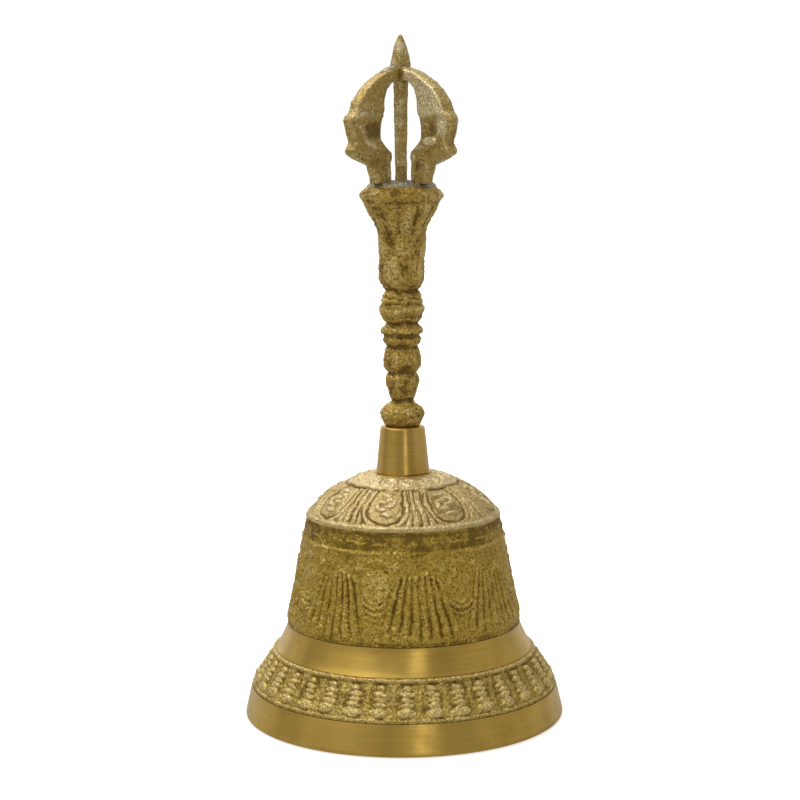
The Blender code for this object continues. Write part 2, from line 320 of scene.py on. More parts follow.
# --------------------------------------------------------------------------- shader groups
class Effects:
    """Shader groups that the finishes share, each built once."""

    def __init__(self) -> None:
        """Build the groups."""
        self.grain = self._build_grain()
        self.patina = self._build_patina()
        self.turning = self._build_turning()

    @staticmethod
    def place(graph: Graph, tree: bpy.types.NodeTree, **values: object) -> bpy.types.Node:
        """Put a group in a material and feed its inputs."""
        return graph.wired("ShaderNodeGroup", values, node_tree=tree)

    @staticmethod
    def _build_grain() -> bpy.types.NodeTree:
        """Sand-cast grain over Object coordinates: a height, pits, clouds, and bright grains on the
        height's peaks, which are partly worn metal and partly painted glints.

        Returns:
            The group.
        """
        gives = dict.fromkeys(("Height", "Pits", "GlintGrains", "Clouds"), "Float")
        takes = {"Place": "Vector", "Size": 1.0}
        g, source, result, _ = open_tree("sand_cast_grain", "ShaderNodeTree", takes, gives)
        inputs = {0: source.outputs["Place"], 1: source.outputs["Size"]}
        place = g.wired("ShaderNodeVectorMath", inputs, operation="DIVIDE").outputs[0]
        coarse = g.noise(place, 1350.0, 2.0, 0.55, 1.3)
        pits = g.noise(place, 1750.0, 2.0, 0.6, 8.7)
        # the same noise bumps the grain and, as the bright grains, paints glints on its peaks
        sparks = g.noise(place, 1600.0, 2.0, 0.6, 5.5)
        clouds = g.noise(place, 210.0, 3.0, 0.6, 2.9)
        g.fill(result, {
            "Height": coarse.rise(0.3, 0.7) * 0.7 + sparks.rise(0.4, 0.6) * 0.3,
            "Pits": pits.rise(0.50, 0.38),
            "GlintGrains": sparks.rise(0.50, 0.64),
            "Clouds": clouds.rise(0.32, 0.68),
        })
        return g.tree

    @staticmethod
    def _build_patina() -> bpy.types.NodeTree:
        """Dark patina in the hollows, light where hands and cloth rub, and painted highlight on the
        bright grains and on the prongs' lightened flat sides.

        Returns:
            The group.
        """
        grey = (0.5, 0.5, 0.5, 1.0)
        masks = {"Relief": 0.5, "Pits": 0.0, "GlintGrains": 0.0, "Clouds": 0.5}
        shares = {"Wear": 0.5, "Dirt": 0.5, "Specks": 0.8}
        colours = dict.fromkeys(("Hollow", "Metal", "Rubbed"), grey)
        g, source, result, _ = open_tree(
            "patina_and_wear", "ShaderNodeTree", masks | colours | shares,
            {"Color": "Color", "Dull": "Float"},
        )
        read = {name: Field(g, source.outputs[name]) for name in masks | shares}
        level = read["Relief"] + (read["Clouds"] - 0.5) * 0.32
        specks = read["Specks"] * (read["Clouds"] * 0.7 + 0.6)
        hollow = (level.rise(0.42, 0.10)).top(read["Pits"] * specks) * read["Dirt"]
        # light on high relief and bright grains: worn metal, with painted glints and the prongs'
        # painted highlight
        worn_and_lit = (level.rise(0.50, 0.86)).top(read["GlintGrains"] * specks) * read["Wear"]
        shade = g.mix(worn_and_lit, source.outputs["Metal"], source.outputs["Rubbed"])
        g.fill(result, {
            "Color": g.mix(hollow, shade, source.outputs["Hollow"]),
            "Dull": hollow * 0.6 + (1.0 - worn_and_lit) * 0.4,
        })
        return g.tree

    @staticmethod
    def _build_turning() -> bpy.types.NodeTree:
        """Marks of turning: rings round the axis, smudges, and long faint upright stripes that are
        partly tarnished metal and partly painted reflection.

        Returns:
            The group.
        """
        gives = dict.fromkeys(("Rings", "Streaks", "Smudges"), "Float")
        g, source, result, _ = open_tree(
            "turning_marks", "ShaderNodeTree", {"Place": "Vector"}, gives
        )
        place = source.outputs["Place"]
        x, y, z = g.split(place)
        rings = g.noise(g.vector(0.0, 0.0, z), 1100.0, 5.0, 0.8, 0.7)
        arcs = g.noise(g.vector(x * 0.02, y * 0.02, z), 4200.0, 3.0, 0.6, 3.3)
        oxide_and_reflection_stripes = g.noise(g.vector(x, y, z * 0.12), 150.0, 3.0, 0.55, 5.1)
        smudges = g.noise(place, 160.0, 4.0, 0.6, 6.4)
        g.fill(result, {
            "Rings": rings * 0.6 + arcs * 0.4,
            "Streaks": oxide_and_reflection_stripes.rise(0.34, 0.66),
            "Smudges": smudges.rise(0.40, 0.72),
        })
        return g.tree


# --------------------------------------------------------------------------- finishes
@dataclass(frozen=True)
class CastFinish:
    """Cast brass whose colour follows the relief that its mesh carries.

    Attributes:
        name: the material's name.
        hollow, metal, worn_and_lit: colours of hollows, flat metal, and high spots that are worn
            and partly painted highlight.
        rough: roughness of clean metal and of dull metal.
        grain: size of the sand grain, 1 for the bell.
        bump: strength of the grain.
        wear_and_sheen, dirt: shares of the worn and painted-highlight colour and of dark metal.
        specks: how much of that shows as dots on flat metal; the bright dots are partly painted
            glints.
        metallic: how much of the surface is bare metal.
        bump_depth: height of the grain in millimetres.
    """

    name: str
    hollow: Colour
    metal: Colour
    worn_and_lit: Colour
    rough: Point = (0.29, 0.58)
    grain: float = 1.0
    bump: float = 0.5
    wear_and_sheen: float = 0.8
    dirt: float = 0.8
    specks: float = 0.8
    metallic: float = 0.75
    bump_depth: float = 0.22

    def make(self, effects: Effects) -> bpy.types.Material:
        """Return the material.

        Args:
            effects: the shared shader groups.

        Returns:
            The new material.
        """
        material, g, shader = new_material(self.name)
        relief = g.node("ShaderNodeAttribute", attribute_name="relief").outputs["Fac"]
        grain = effects.place(g, effects.grain, Place=object_place(g), Size=self.grain)
        masks = {name: grain.outputs[name] for name in ("Pits", "GlintGrains", "Clouds")}
        patina = effects.place(
            g, effects.patina, Relief=relief, **masks,
            Hollow=(*self.hollow, 1.0), Metal=(*self.metal, 1.0), Rubbed=(*self.worn_and_lit, 1.0),
            Wear=self.wear_and_sheen, Dirt=self.dirt, Specks=self.specks,
        )
        low, high = self.rough
        g.fill(shader, {
            "Base Color": patina.outputs["Color"],
            "Roughness": Field(g, patina.outputs["Dull"]) * (high - low) + low,
            "Metallic": self.metallic,
            "Normal": g.bump(grain.outputs["Height"], self.bump, self.bump_depth),
        })
        return material


@dataclass(frozen=True)
class TurnedFinish:
    """Metal turned on a lathe: bright, with fine rings, old finger marks and upright stripes of
    darker metal that are partly painted reflection.

    Attributes:
        name: the material's name.
        metal, oxide_and_dark_reflection: colours of clean metal and of tarnished metal, the latter
            also painted as dark reflection in the upright stripes.
        rough: roughness of clean metal and of smudges.
        bump: strength of the rings.
        metallic: how much of the surface is bare metal.
        brushed: how far the rings stretch a highlight along the axis.
        bump_depth: height of the rings in millimetres.
    """

    name: str
    metal: Colour
    oxide_and_dark_reflection: Colour
    rough: Point = (0.28, 0.4)
    bump: float = 0.25
    metallic: float = 1.0
    brushed: float = 0.75
    bump_depth: float = 0.04

    def make(self, effects: Effects) -> bpy.types.Material:
        """Return the material.

        Args:
            effects: the shared shader groups.

        Returns:
            The new material.
        """
        material, g, shader = new_material(self.name)
        marks = effects.place(g, effects.turning, Place=object_place(g))
        rings, oxide_and_reflection_stripes, smudges = (
            Field(g, marks.outputs[name]) for name in ("Rings", "Streaks", "Smudges")
        )
        # the upright stripes darken the colour: partly tarnished metal, partly a painted dark
        # reflection
        tint = oxide_and_reflection_stripes * 0.25 + smudges * 0.25 + (rings - 0.42) * 2.2
        low, high = self.rough
        g.fill(shader, {
            "Base Color": g.mix(tint, (*self.metal, 1.0), (*self.oxide_and_dark_reflection, 1.0)),
            "Roughness": smudges * (high - low) + rings * 0.08 + low,
            "Metallic": self.metallic,
            "Anisotropic": self.brushed,
            "Anisotropic Rotation": 0.25,
            "Normal": g.bump(rings, self.bump, self.bump_depth),
        })
        return material


@dataclass(frozen=True)
class RawFinish:
    """Bare working metal, such as iron, steel or solder, with blotches and rust.

    Attributes:
        name: the material's name.
        metal, stain: colours of clean and stained metal.
        rough: roughness of clean and of stained metal.
        stained: share of the surface that is stained.
        bump: strength of its uneven surface.
        metallic: how much of the surface is bare metal.
        grain: size of the grain, 1 for the bell's.
        bump_depth: height of the grain in millimetres.
    """

    name: str
    metal: Colour
    stain: Colour
    rough: Point = (0.35, 0.7)
    stained: float = 0.5
    bump: float = 0.4
    metallic: float = 0.9
    grain: float = 0.8
    bump_depth: float = 0.08

    def make(self, effects: Effects) -> bpy.types.Material:
        """Return the material.

        Args:
            effects: the shared shader groups.

        Returns:
            The new material.
        """
        material, g, shader = new_material(self.name)
        grain = effects.place(g, effects.grain, Place=object_place(g), Size=self.grain)
        clouds, pits = (Field(g, grain.outputs[name]) for name in ("Clouds", "Pits"))
        stain = (clouds * 0.7 + pits * 0.6) * self.stained
        low, high = self.rough
        g.fill(shader, {
            "Base Color": g.mix(stain, (*self.metal, 1.0), (*self.stain, 1.0)),
            "Roughness": stain * (high - low) + low,
            "Metallic": self.metallic,
            "Normal": g.bump(grain.outputs["Height"], self.bump, self.bump_depth),
        })
        return material


def new_material(name: str) -> tuple[bpy.types.Material, Graph, bpy.types.Node]:
    """Return a new material with its graph and its Principled shader.

    Args:
        name: the material's name.

    Returns:
        The material, its graph and its Principled shader.
    """
    material = bpy.data.materials.new(name)
    material.use_nodes = True
    return material, Graph(material.node_tree), material.node_tree.nodes["Principled BSDF"]


def object_place(g: Graph) -> bpy.types.NodeSocket:
    """Return the Object coordinates."""
    return g.node("ShaderNodeTexCoord").outputs["Object"]


class Finishes:
    """Every finish of the bell, made once."""

    def __init__(self) -> None:
        """Make the materials."""
        effects = Effects()
        # the crown's colours are lighter than the waist's: partly its own beige tone, partly
        # painted light standing in for the lamps above on the upturned crown
        self.crown = CastFinish(
            "crown_brass", (0.22, 0.145, 0.04), (0.56, 0.425, 0.175), (0.78, 0.64, 0.36),
            wear_and_sheen=0.8, dirt=0.9, bump=0.8, specks=0.45,
        ).make(effects)
        self.waist = CastFinish(
            "waist_brass", (0.15, 0.09, 0.011), (0.47, 0.315, 0.044), (0.72, 0.54, 0.15),
            wear_and_sheen=0.75, dirt=0.8, bump=1.0, specks=0.85,
        ).make(effects)
        self.fence = CastFinish(
            "fence_brass", (0.16, 0.10, 0.016), (0.46, 0.325, 0.07), (0.74, 0.58, 0.23),
            wear_and_sheen=0.8, dirt=0.8, bump=0.9, specks=0.7,
        ).make(effects)
        self.handle = CastFinish(
            "handle_brass", (0.12, 0.07, 0.011), (0.49, 0.325, 0.06), (0.80, 0.62, 0.25),
            wear_and_sheen=0.75, dirt=0.8, bump=0.95, specks=0.8,
        ).make(effects)
        # the very light cream of the worn high spots also paints the highlight on the prongs' flat
        # sides where the key light falls
        self.prong = CastFinish(
            "prong_brass", (0.15, 0.09, 0.018), (0.47, 0.335, 0.095), (0.95, 0.84, 0.55),
            wear_and_sheen=0.72, dirt=0.8, bump=0.85, specks=0.6,
        ).make(effects)
        self.polished = TurnedFinish(
            "polished_brass", (0.63, 0.43, 0.108), (0.43, 0.275, 0.047)
        ).make(effects)
        self.collar = TurnedFinish(
            "collar_brass", (0.64, 0.43, 0.13), (0.40, 0.25, 0.04), rough=(0.24, 0.36)
        ).make(effects)
        self.solder = RawFinish(
            "grey_solder", (0.40, 0.37, 0.28), (0.20, 0.17, 0.10), bump=0.8, stained=0.8
        ).make(effects)
        self.steel = RawFinish(
            "dull_steel", (0.46, 0.45, 0.42), (0.22, 0.16, 0.10), stained=0.5
        ).make(effects)
        self.iron = RawFinish(
            "dark_iron", (0.22, 0.19, 0.16), (0.16, 0.075, 0.035), stained=0.7, bump=0.7
        ).make(effects)


# --------------------------------------------------------------------------- turned meshes
def smooth_run(points: list[Point], step: float) -> np.ndarray:
    """Points on a smooth curve through a run of points.

    Args:
        points: (radius, height) pairs in millimetres.
        step: distance between the points returned.

    Returns:
        An array of (radius, height) from the first point to the last.
    """
    knots = np.array(points, float)
    if len(knots) == 2:
        count = max(1, round(float(np.hypot(*(knots[1] - knots[0]))) / step))
        share = np.linspace(0.0, 1.0, count + 1)[:, None]
        return knots[0] * (1 - share) + knots[1] * share
    padded = np.vstack([2 * knots[0] - knots[1], knots, 2 * knots[-1] - knots[-2]])
    dense = []
    for a, b, c, d in zip(padded, padded[1:], padded[2:], padded[3:], strict=False):
        for share in np.linspace(0.0, 1.0, CURVE_SAMPLES, endpoint=False):
            s2, s3 = share * share, share**3
            dense.append(
                0.5 * (2 * b + (c - a) * share + (2 * a - 5 * b + 4 * c - d) * s2
                       + (3 * b - a - 3 * c + d) * s3)
            )
    return evenly(np.array([*dense, knots[-1]]), step, 1)


def evenly(curve: np.ndarray, step: float, extra: int) -> np.ndarray:
    """Space points evenly along a curve.

    Args:
        curve: (radius, height) pairs.
        step: distance wanted between the points.
        extra: points added to the number of steps.

    Returns:
        The new pairs, from the curve's first point to its last.
    """
    reach = np.r_[0.0, np.cumsum(np.hypot(*np.diff(curve, axis=0).T))]
    at = np.linspace(0.0, reach[-1], max(2, round(reach[-1] / step)) + extra)
    return np.stack([np.interp(at, reach, curve[:, 0]), np.interp(at, reach, curve[:, 1])], 1)


def join_runs(runs: list[list[Point]], step: float) -> np.ndarray:
    """Join smooth runs whose ends meet, keeping the corners between them."""
    parts = [smooth_run(run, step) for run in runs]
    return np.vstack([parts[0], *[part[1:] for part in parts[1:]]])


def edges(*corners: Point) -> list[list[Point]]:
    """Return the straight runs from each corner to the next."""
    return [list(pair) for pair in zip(corners, corners[1:], strict=False)]


@dataclass
class Turning:
    """A turned solid, as a grid of rings round the Z axis.

    Attributes:
        profile: (radius, height) in millimetres, clockwise seen with +X to the right and the
            axis at the left, so that it runs down the outer side.
        around: how many points each ring has.
        closed: True for a ring whose profile ends where it starts, and False for a solid
            whose profile starts and ends on the axis.
        relief_rows: how many of the first rows may be displaced. The rest lie hidden.
    """

    profile: np.ndarray
    around: int
    closed: bool
    relief_rows: int = 0

    def mesh(self, name: str, sharp: float = 38.0) -> bpy.types.Mesh:
        """Return the mesh, with turn, along, radius, skin and out attributes on its points.

        Args:
            name: the mesh's name.
            sharp: angle in degrees above which an edge stays sharp.

        Returns:
            A new mesh in metres.
        """
        rows = self.profile if self.closed else self.profile[1:-1]
        count, turns = len(rows), np.arange(self.around) * FULL_TURN / self.around
        side, front = np.sin(turns), -np.cos(turns)
        radius, height = rows[:, 0][:, None], rows[:, 1][:, None]
        grid = np.stack(
            [radius * side, radius * front, height + 0 * side], axis=2
        ).reshape(-1, 3)
        points = [grid]
        if not self.closed:
            points += [[[0.0, 0.0, self.profile[0, 1]]], [[0.0, 0.0, self.profile[-1, 1]]]]
        points = np.vstack(points) * MM
        index = np.arange(count * self.around).reshape(count, self.around)
        if self.closed:
            index = np.vstack([index, index[:1]])
        upper, lower = index[:-1], index[1:]
        ahead_upper, ahead_lower = np.roll(upper, -1, 1), np.roll(lower, -1, 1)
        quads = np.stack([upper, lower, ahead_lower, ahead_upper], 2).reshape(-1, 4)
        faces = quads.tolist()
        if not self.closed:
            top, bottom = count * self.around, count * self.around + 1
            first, last = index[0].tolist(), index[-1].tolist()
            ends = range(self.around)
            faces += [[first[i], first[(i + 1) % self.around], top] for i in ends]
            faces += [[last[(i + 1) % self.around], last[i], bottom] for i in ends]
        mesh = bpy.data.meshes.new(name)
        mesh.from_pydata(points.tolist(), [], faces)
        self._mark(mesh, rows, turns)
        mesh.shade_smooth()
        mesh.set_sharp_from_angle(angle=math.radians(sharp))
        return mesh

    def _mark(self, mesh: bpy.types.Mesh, rows: np.ndarray, turns: np.ndarray) -> None:
        """Store where each point lies on the surface, for the relief to read.

        Args:
            mesh: the turned mesh.
            rows: (radius, height) of its rings.
            turns: angle of each point of a ring.
        """
        count = len(rows)
        if self.closed:
            slope = np.roll(rows, -1, 0) - np.roll(rows, 1, 0)
            if self.relief_rows:
                slope[0] = rows[1] - rows[0]
                last = self.relief_rows - 1
                slope[last] = rows[last] - rows[last - 1]
        else:
            slope = np.gradient(rows, axis=0)
        slope /= np.hypot(slope[:, 0], slope[:, 1])[:, None]
        out = np.stack([-slope[:, 1], slope[:, 0]], 1)
        along = np.r_[0.0, np.cumsum(np.hypot(*np.diff(rows, axis=0).T))]
        skin = np.zeros(count)
        skin[: self.relief_rows or count] = 1.0
        values = {
            "turn": np.tile(turns, count),
            "along": np.repeat(along, len(turns)),
            "radius": np.repeat(rows[:, 0], len(turns)),
            "tall": np.repeat(rows[:, 1], len(turns)),
            "skin": np.repeat(skin, len(turns)),
        }
        across = np.stack(
            [
                out[:, 0][:, None] * np.sin(turns),
                -out[:, 0][:, None] * np.cos(turns),
                out[:, 1][:, None] + 0 * turns,
            ],
            axis=2,
        )
        store(mesh, values, across)


def offset_run(run: np.ndarray, depth: float, step: float) -> np.ndarray:
    """Close a thin ring behind a run.

    Args:
        run: (radius, height) down the outer side.
        depth: how far inwards the copy lies, in millimetres.
        step: distance between its points.

    Returns:
        A coarse copy of the run, moved inwards and reversed.
    """
    slope = np.gradient(run, axis=0)
    slope /= np.hypot(slope[:, 0], slope[:, 1])[:, None]
    inner = run + np.stack([slope[:, 1], -slope[:, 0]], 1) * depth
    return evenly(inner, step, 0)[::-1]


def store(mesh: bpy.types.Mesh, values: dict[str, np.ndarray], out: np.ndarray) -> None:
    """Store attributes on a mesh's points, with 0 on points past the arrays' ends.

    Args:
        mesh: the mesh.
        values: a number for each point, by attribute.
        out: the outward direction at each point.
    """
    total = len(mesh.vertices)
    for name, value in values.items():
        layer = mesh.attributes.new(name, "FLOAT", "POINT")
        layer.data.foreach_set("value", np.r_[value, np.zeros(total - value.size)])
    layer = mesh.attributes.new("out", "FLOAT_VECTOR", "POINT")
    layer.data.foreach_set("vector", np.r_[out.ravel(), np.zeros(3 * total - out.size)])


def baked(form: bmesh.types.BMesh, name: str) -> bpy.types.Mesh:
    """Turn an edit mesh into a mesh and free it.

    Args:
        form: the edit mesh.
        name: the mesh's name.

    Returns:
        The new mesh.
    """
    mesh = bpy.data.meshes.new(name)
    form.to_mesh(mesh)
    form.free()
    return mesh


def ring_of(
    form: bmesh.types.BMesh, reaches: list[float], height: float, start: float = 0.0
) -> list[bmesh.types.BMVert]:
    """Add a ring of points round the axis.

    Args:
        form: the edit mesh.
        reaches: each point's distance from the axis, in millimetres.
        height: the ring's height in millimetres.
        start: angle of the first point in radians.

    Returns:
        The ring's points.
    """
    ring = []
    for index, reach in enumerate(reaches):
        turn = start + index * FULL_TURN / len(reaches)
        place = (reach * math.cos(turn) * MM, reach * math.sin(turn) * MM, height * MM)
        ring.append(form.verts.new(place))
    return ring


def bridge(form: bmesh.types.BMesh, rings: list[list[bmesh.types.BMVert]]) -> None:
    """Fill the quads between each ring and the next.

    Args:
        form: the edit mesh.
        rings: rings of the same number of points.
    """
    for low, high in zip(rings, rings[1:], strict=False):
        for i, point in enumerate(low):
            j = (i + 1) % len(low)
            form.faces.new((point, low[j], high[j], high[i]))


def show(
    name: str, mesh: bpy.types.Mesh, material: bpy.types.Material | None = None
) -> bpy.types.Object:
    """Put a mesh in the scene at the origin, with its material.

    Args:
        name: the object's name.
        mesh: its mesh.
        material: its material, or None to leave the mesh's own.

    Returns:
        The new object.
    """
    obj = bpy.data.objects.new(name, mesh)
    bpy.context.scene.collection.objects.link(obj)
    if material is not None:
        mesh.materials.clear()
        mesh.materials.append(material)
    return obj


def settle(obj: bpy.types.Object) -> bpy.types.Object:
    """Turn an object's modifiers into its plain mesh.

    Args:
        obj: the object.

    Returns:
        The same object, without modifiers.
    """
    graph = bpy.context.evaluated_depsgraph_get()
    mesh = bpy.data.meshes.new_from_object(
        obj.evaluated_get(graph), preserve_all_data_layers=True, depsgraph=graph
    )
    mesh.name = obj.name
    obj.modifiers.clear()
    obj.data = mesh
    return obj


def finish_piece(obj: bpy.types.Object, body: Body, slot: Slot, *nodes: str) -> None:
    """Put a piece on the body that it rides on and hide the solids that it stands for.

    Args:
        obj: the piece.
        body: the body that it rides on.
        slot: its finish; not used.
        *nodes: the solids that it stands for.
    """
    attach(obj, body.value)
    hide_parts(*nodes)
    size = [round(1000 * side, 1) for side in obj.dimensions]
    LOG.info("%s: %d faces, %s mm, rides on %s", obj.name, len(obj.data.polygons), size, body.value)


# --------------------------------------------------------------------------- relief rules
class Relief(ABC):
    """A rule that gives the height of cast ornament at each point of a turned surface.

    Attributes:
        name: the tree's name.
        sizes: named sizes that become inputs of the tree.
        level: heights in millimetres that count as hollow and as high.
    """

    name: str = "relief"
    sizes: dict[str, float] = {"Depth": 1.0, "Seed": 1.0}
    level: Point = (-0.25, 0.35)

    @abstractmethod
    def height(self, g: Graph, at: dict[str, Field], size: dict[str, Field]) -> Field:
        """Return the ornament's height in millimetres.

        Args:
            g: the tree's graph.
            at: turn, along, radius, tall, skin, place and out of the point.
            size: the named sizes.

        Returns:
            The height as a field.
        """

    def carve(self, obj: bpy.types.Object, material: bpy.types.Material) -> bpy.types.Object:
        """Raise the ornament on a mesh.

        Args:
            obj: an object whose mesh holds the attributes that the rule reads.
            material: its metal.

        Returns:
            The same object, as a plain mesh.
        """
        kind = "Geometry"
        g, source, result, keys = open_tree(
            self.name, "GeometryNodeTree",
            {kind: kind, **self.sizes, "Metal": "Material"}, {kind: kind},
        )
        at = {}
        for name in ("turn", "along", "radius", "tall", "skin", "out"):
            reader = g.wired(
                "GeometryNodeInputNamedAttribute", {"Name": name},
                data_type="FLOAT_VECTOR" if name == "out" else "FLOAT",
            )
            at[name] = Field(g, reader.outputs["Attribute"])
        at["place"] = Field(g, g.node("GeometryNodeInputPosition").outputs[0])
        size = {name: Field(g, source.outputs[name]) for name in self.sizes}
        height = self.height(g, at, size) * size["Depth"] * at["skin"]
        push = g.wired(
            "ShaderNodeVectorMath", {0: at["out"], "Scale": height * MM}, operation="SCALE"
        )
        marked = g.wired(
            "GeometryNodeStoreNamedAttribute",
            {"Name": "relief", kind: source.outputs[kind], "Value": height.rise(*self.level)},
            data_type="FLOAT", domain="POINT",
        )
        move = g.wired(
            "GeometryNodeSetPosition", {kind: marked.outputs[0], "Offset": push.outputs[0]}
        )
        end_tree(g, result, move.outputs[0], source.outputs["Metal"])
        modifier = obj.modifiers.new(self.name, "NODES")
        modifier.node_group = g.tree
        for name, value in self.sizes.items():
            modifier[keys[name]] = value
        modifier[keys["Metal"]] = material
        return settle(obj)


def end_tree(g: Graph, result: bpy.types.Node, geometry: object, metal: object) -> None:
    """End a geometry tree with real meshes in their metal.

    Args:
        g: the tree's graph.
        result: its output node.
        geometry: the socket to end with.
        metal: a material or its socket.
    """
    real = g.wired("GeometryNodeRealizeInstances", {0: geometry})
    coat = g.wired("GeometryNodeSetMaterial", {"Geometry": real.outputs[0], "Material": metal})
    g.feed(result.inputs[0], coat.outputs[0])


def stray(
    at: dict[str, Field], scale: float, seed: Field | float, reach: Field | float,
    detail: float = 2.0, rough: float = 0.5,
) -> Field:
    """Noise that strays to either side of 0.

    Args:
        at: the point's fields.
        scale: cells in a metre.
        seed: which picks the pattern.
        reach: distance in millimetres from its lowest to its highest.
        detail: octaves on top of the first.
        rough: weight of those octaves.

    Returns:
        The noise as a field.
    """
    place = at["place"]
    return (place.graph.noise(place.socket, scale, detail, rough, seed) - 0.5) * reach


def cell(at: dict[str, Field], count: int, shift: float = 0.0) -> tuple[Field, Field]:
    """Cut the turn into equal cells.

    Args:
        at: the point's fields.
        count: cells in a full turn.
        shift: where the first cell's centre lies, in cells from the front.

    Returns:
        The distance in millimetres from the cell's centre line, and the cell's number.
    """
    run = at["turn"] * (count / FULL_TURN) + (0.5 - shift)
    across = (run.fract() - 0.5) * at["radius"] * (FULL_TURN / count)
    return across, run.whole()


def oval(x: Field, y: Field, half_x: float, half_y: float) -> Field:
    """Distance from the centre of an ellipse, 1 on its outline."""
    return ((x / half_x) * (x / half_x) + (y / half_y) * (y / half_y)).root()


def dome(x: Field, y: Field, half_x: float, half_y: float) -> Field:
    """A rounded boss of height 1 over an ellipse."""
    inside = 1.0 - (x / half_x) * (x / half_x) - (y / half_y) * (y / half_y)
    return inside.top(0.0).root()


def strand(x: Field, y: Field, start: Point, end: Point, half_width: float) -> Field:
    """A rounded cord of height 1 from one point to another.

    Args:
        x, y: the point's place in millimetres.
        start, end: the cord's ends.
        half_width: half its width.

    Returns:
        The height as a field.
    """
    run = (end[0] - start[0], end[1] - start[1])
    length = run[0] ** 2 + run[1] ** 2
    px, py = x - start[0], y - start[1]
    share = ((px * run[0] + py * run[1]) / length).top(0.0).low(1.0)
    dx, dy = px - share * run[0], py - share * run[1]
    return ((dx * dx + dy * dy).root()).rise(half_width, 0.0)


class CrownRelief(Relief):
    """Ring of small scrolls, then petals with double outlines, and rays between them."""

    name = "crown_relief"
    sizes = {"Depth": 1.0, "Groove": 0.52, "Grain": 0.55, "Seed": 3.0}
    level = (-0.60, 0.66)
    scrolls = 15
    petals = 8

    def height(self, g: Graph, at: dict[str, Field], size: dict[str, Field]) -> Field:
        """Return the ornament's height in millimetres.

        Args:
            g: the tree's graph.
            at: the point's fields.
            size: the named sizes.

        Returns:
            The height as a field.
        """
        place = at["place"].socket
        worn = g.noise(place, 170.0, 2.0, 0.5, size["Seed"])
        sway = stray(at, 260.0, size["Seed"] + 2.0, 2.2)
        s = at["along"] + stray(at, 300.0, size["Seed"] + 5.0, 1.8)
        # small scrolls next to the collar
        x, _ = cell(at, self.scrolls, 0.3)
        x = x + sway * 0.5
        reach = (x * x + (s - 3.7) * (s - 3.7)).root()
        scrolls = reach.ridge(1.55, 0.75) * 0.34 + reach.rise(0.7, 0.1) * 0.3
        ledge = s.rise(7.1, 6.3) * 0.24 - s.ridge(7.3, 0.5) * worn.rise(0.30, 0.5) * size["Groove"]
        # petals
        x, _ = cell(at, self.petals, -0.27)
        x = x + sway
        side = x.abs()
        half = s.rise(6.6, 14.0) * 1.7 + 2.7
        foot = (s - 14.2).top(0.0) / 4.6
        level = ((side / half).power(2.4) + foot.power(2.4)).power(1.0 / 2.4)
        outline = level.ridge(1.0, 0.11) + level.ridge(1.34, 0.09) * 0.8
        inside = level.rise(1.02, 0.90)
        beside = (side - half) / (at["radius"] * (FULL_TURN / 2 / self.petals) - half)
        rays = (beside * (FULL_TURN * 2.6)).cos().rise(-0.35, -0.95) * level.rise(1.25, 1.5)
        # a spray of rounded leaves
        spray = None
        for aside, height, half, tall in (
            (-0.2, 9.6, 1.3, 0.8), (0.9, 11.2, 1.3, 0.75), (-1.0, 12.2, 1.4, 0.75),
            (0.8, 13.5, 1.6, 0.7), (-0.9, 14.6, 1.5, 0.75), (0.5, 16.0, 1.6, 0.75),
            (2.1, 12.4, 0.7, 1.3), (-2.2, 13.6, 0.7, 1.3),
        ):
            leaf = dome(x - aside, s - height, half, tall)
            spray = leaf if spray is None else spray.top(leaf)
        figure = spray * 0.46 - 0.10
        petals = figure * inside - outline * size["Groove"] - rays * size["Groove"] * 0.7
        petals = (petals + (1.0 - inside) * 0.08) * s.between(7.6, 18.6, 0.5)
        bead = at["along"].ridge(19.9, 0.7) * 0.24 * worn.rise(0.3, 0.5)
        skin = stray(at, 1150.0, size["Seed"], size["Grain"], 3.0, 0.65)
        lumps = stray(at, 400.0, size["Seed"], 0.34)
        total = scrolls * s.between(1.0, 6.2, 0.4) + ledge + petals
        return total * (worn.rise(0.20, 0.55) * 0.45 + 0.65) + bead + skin + lumps


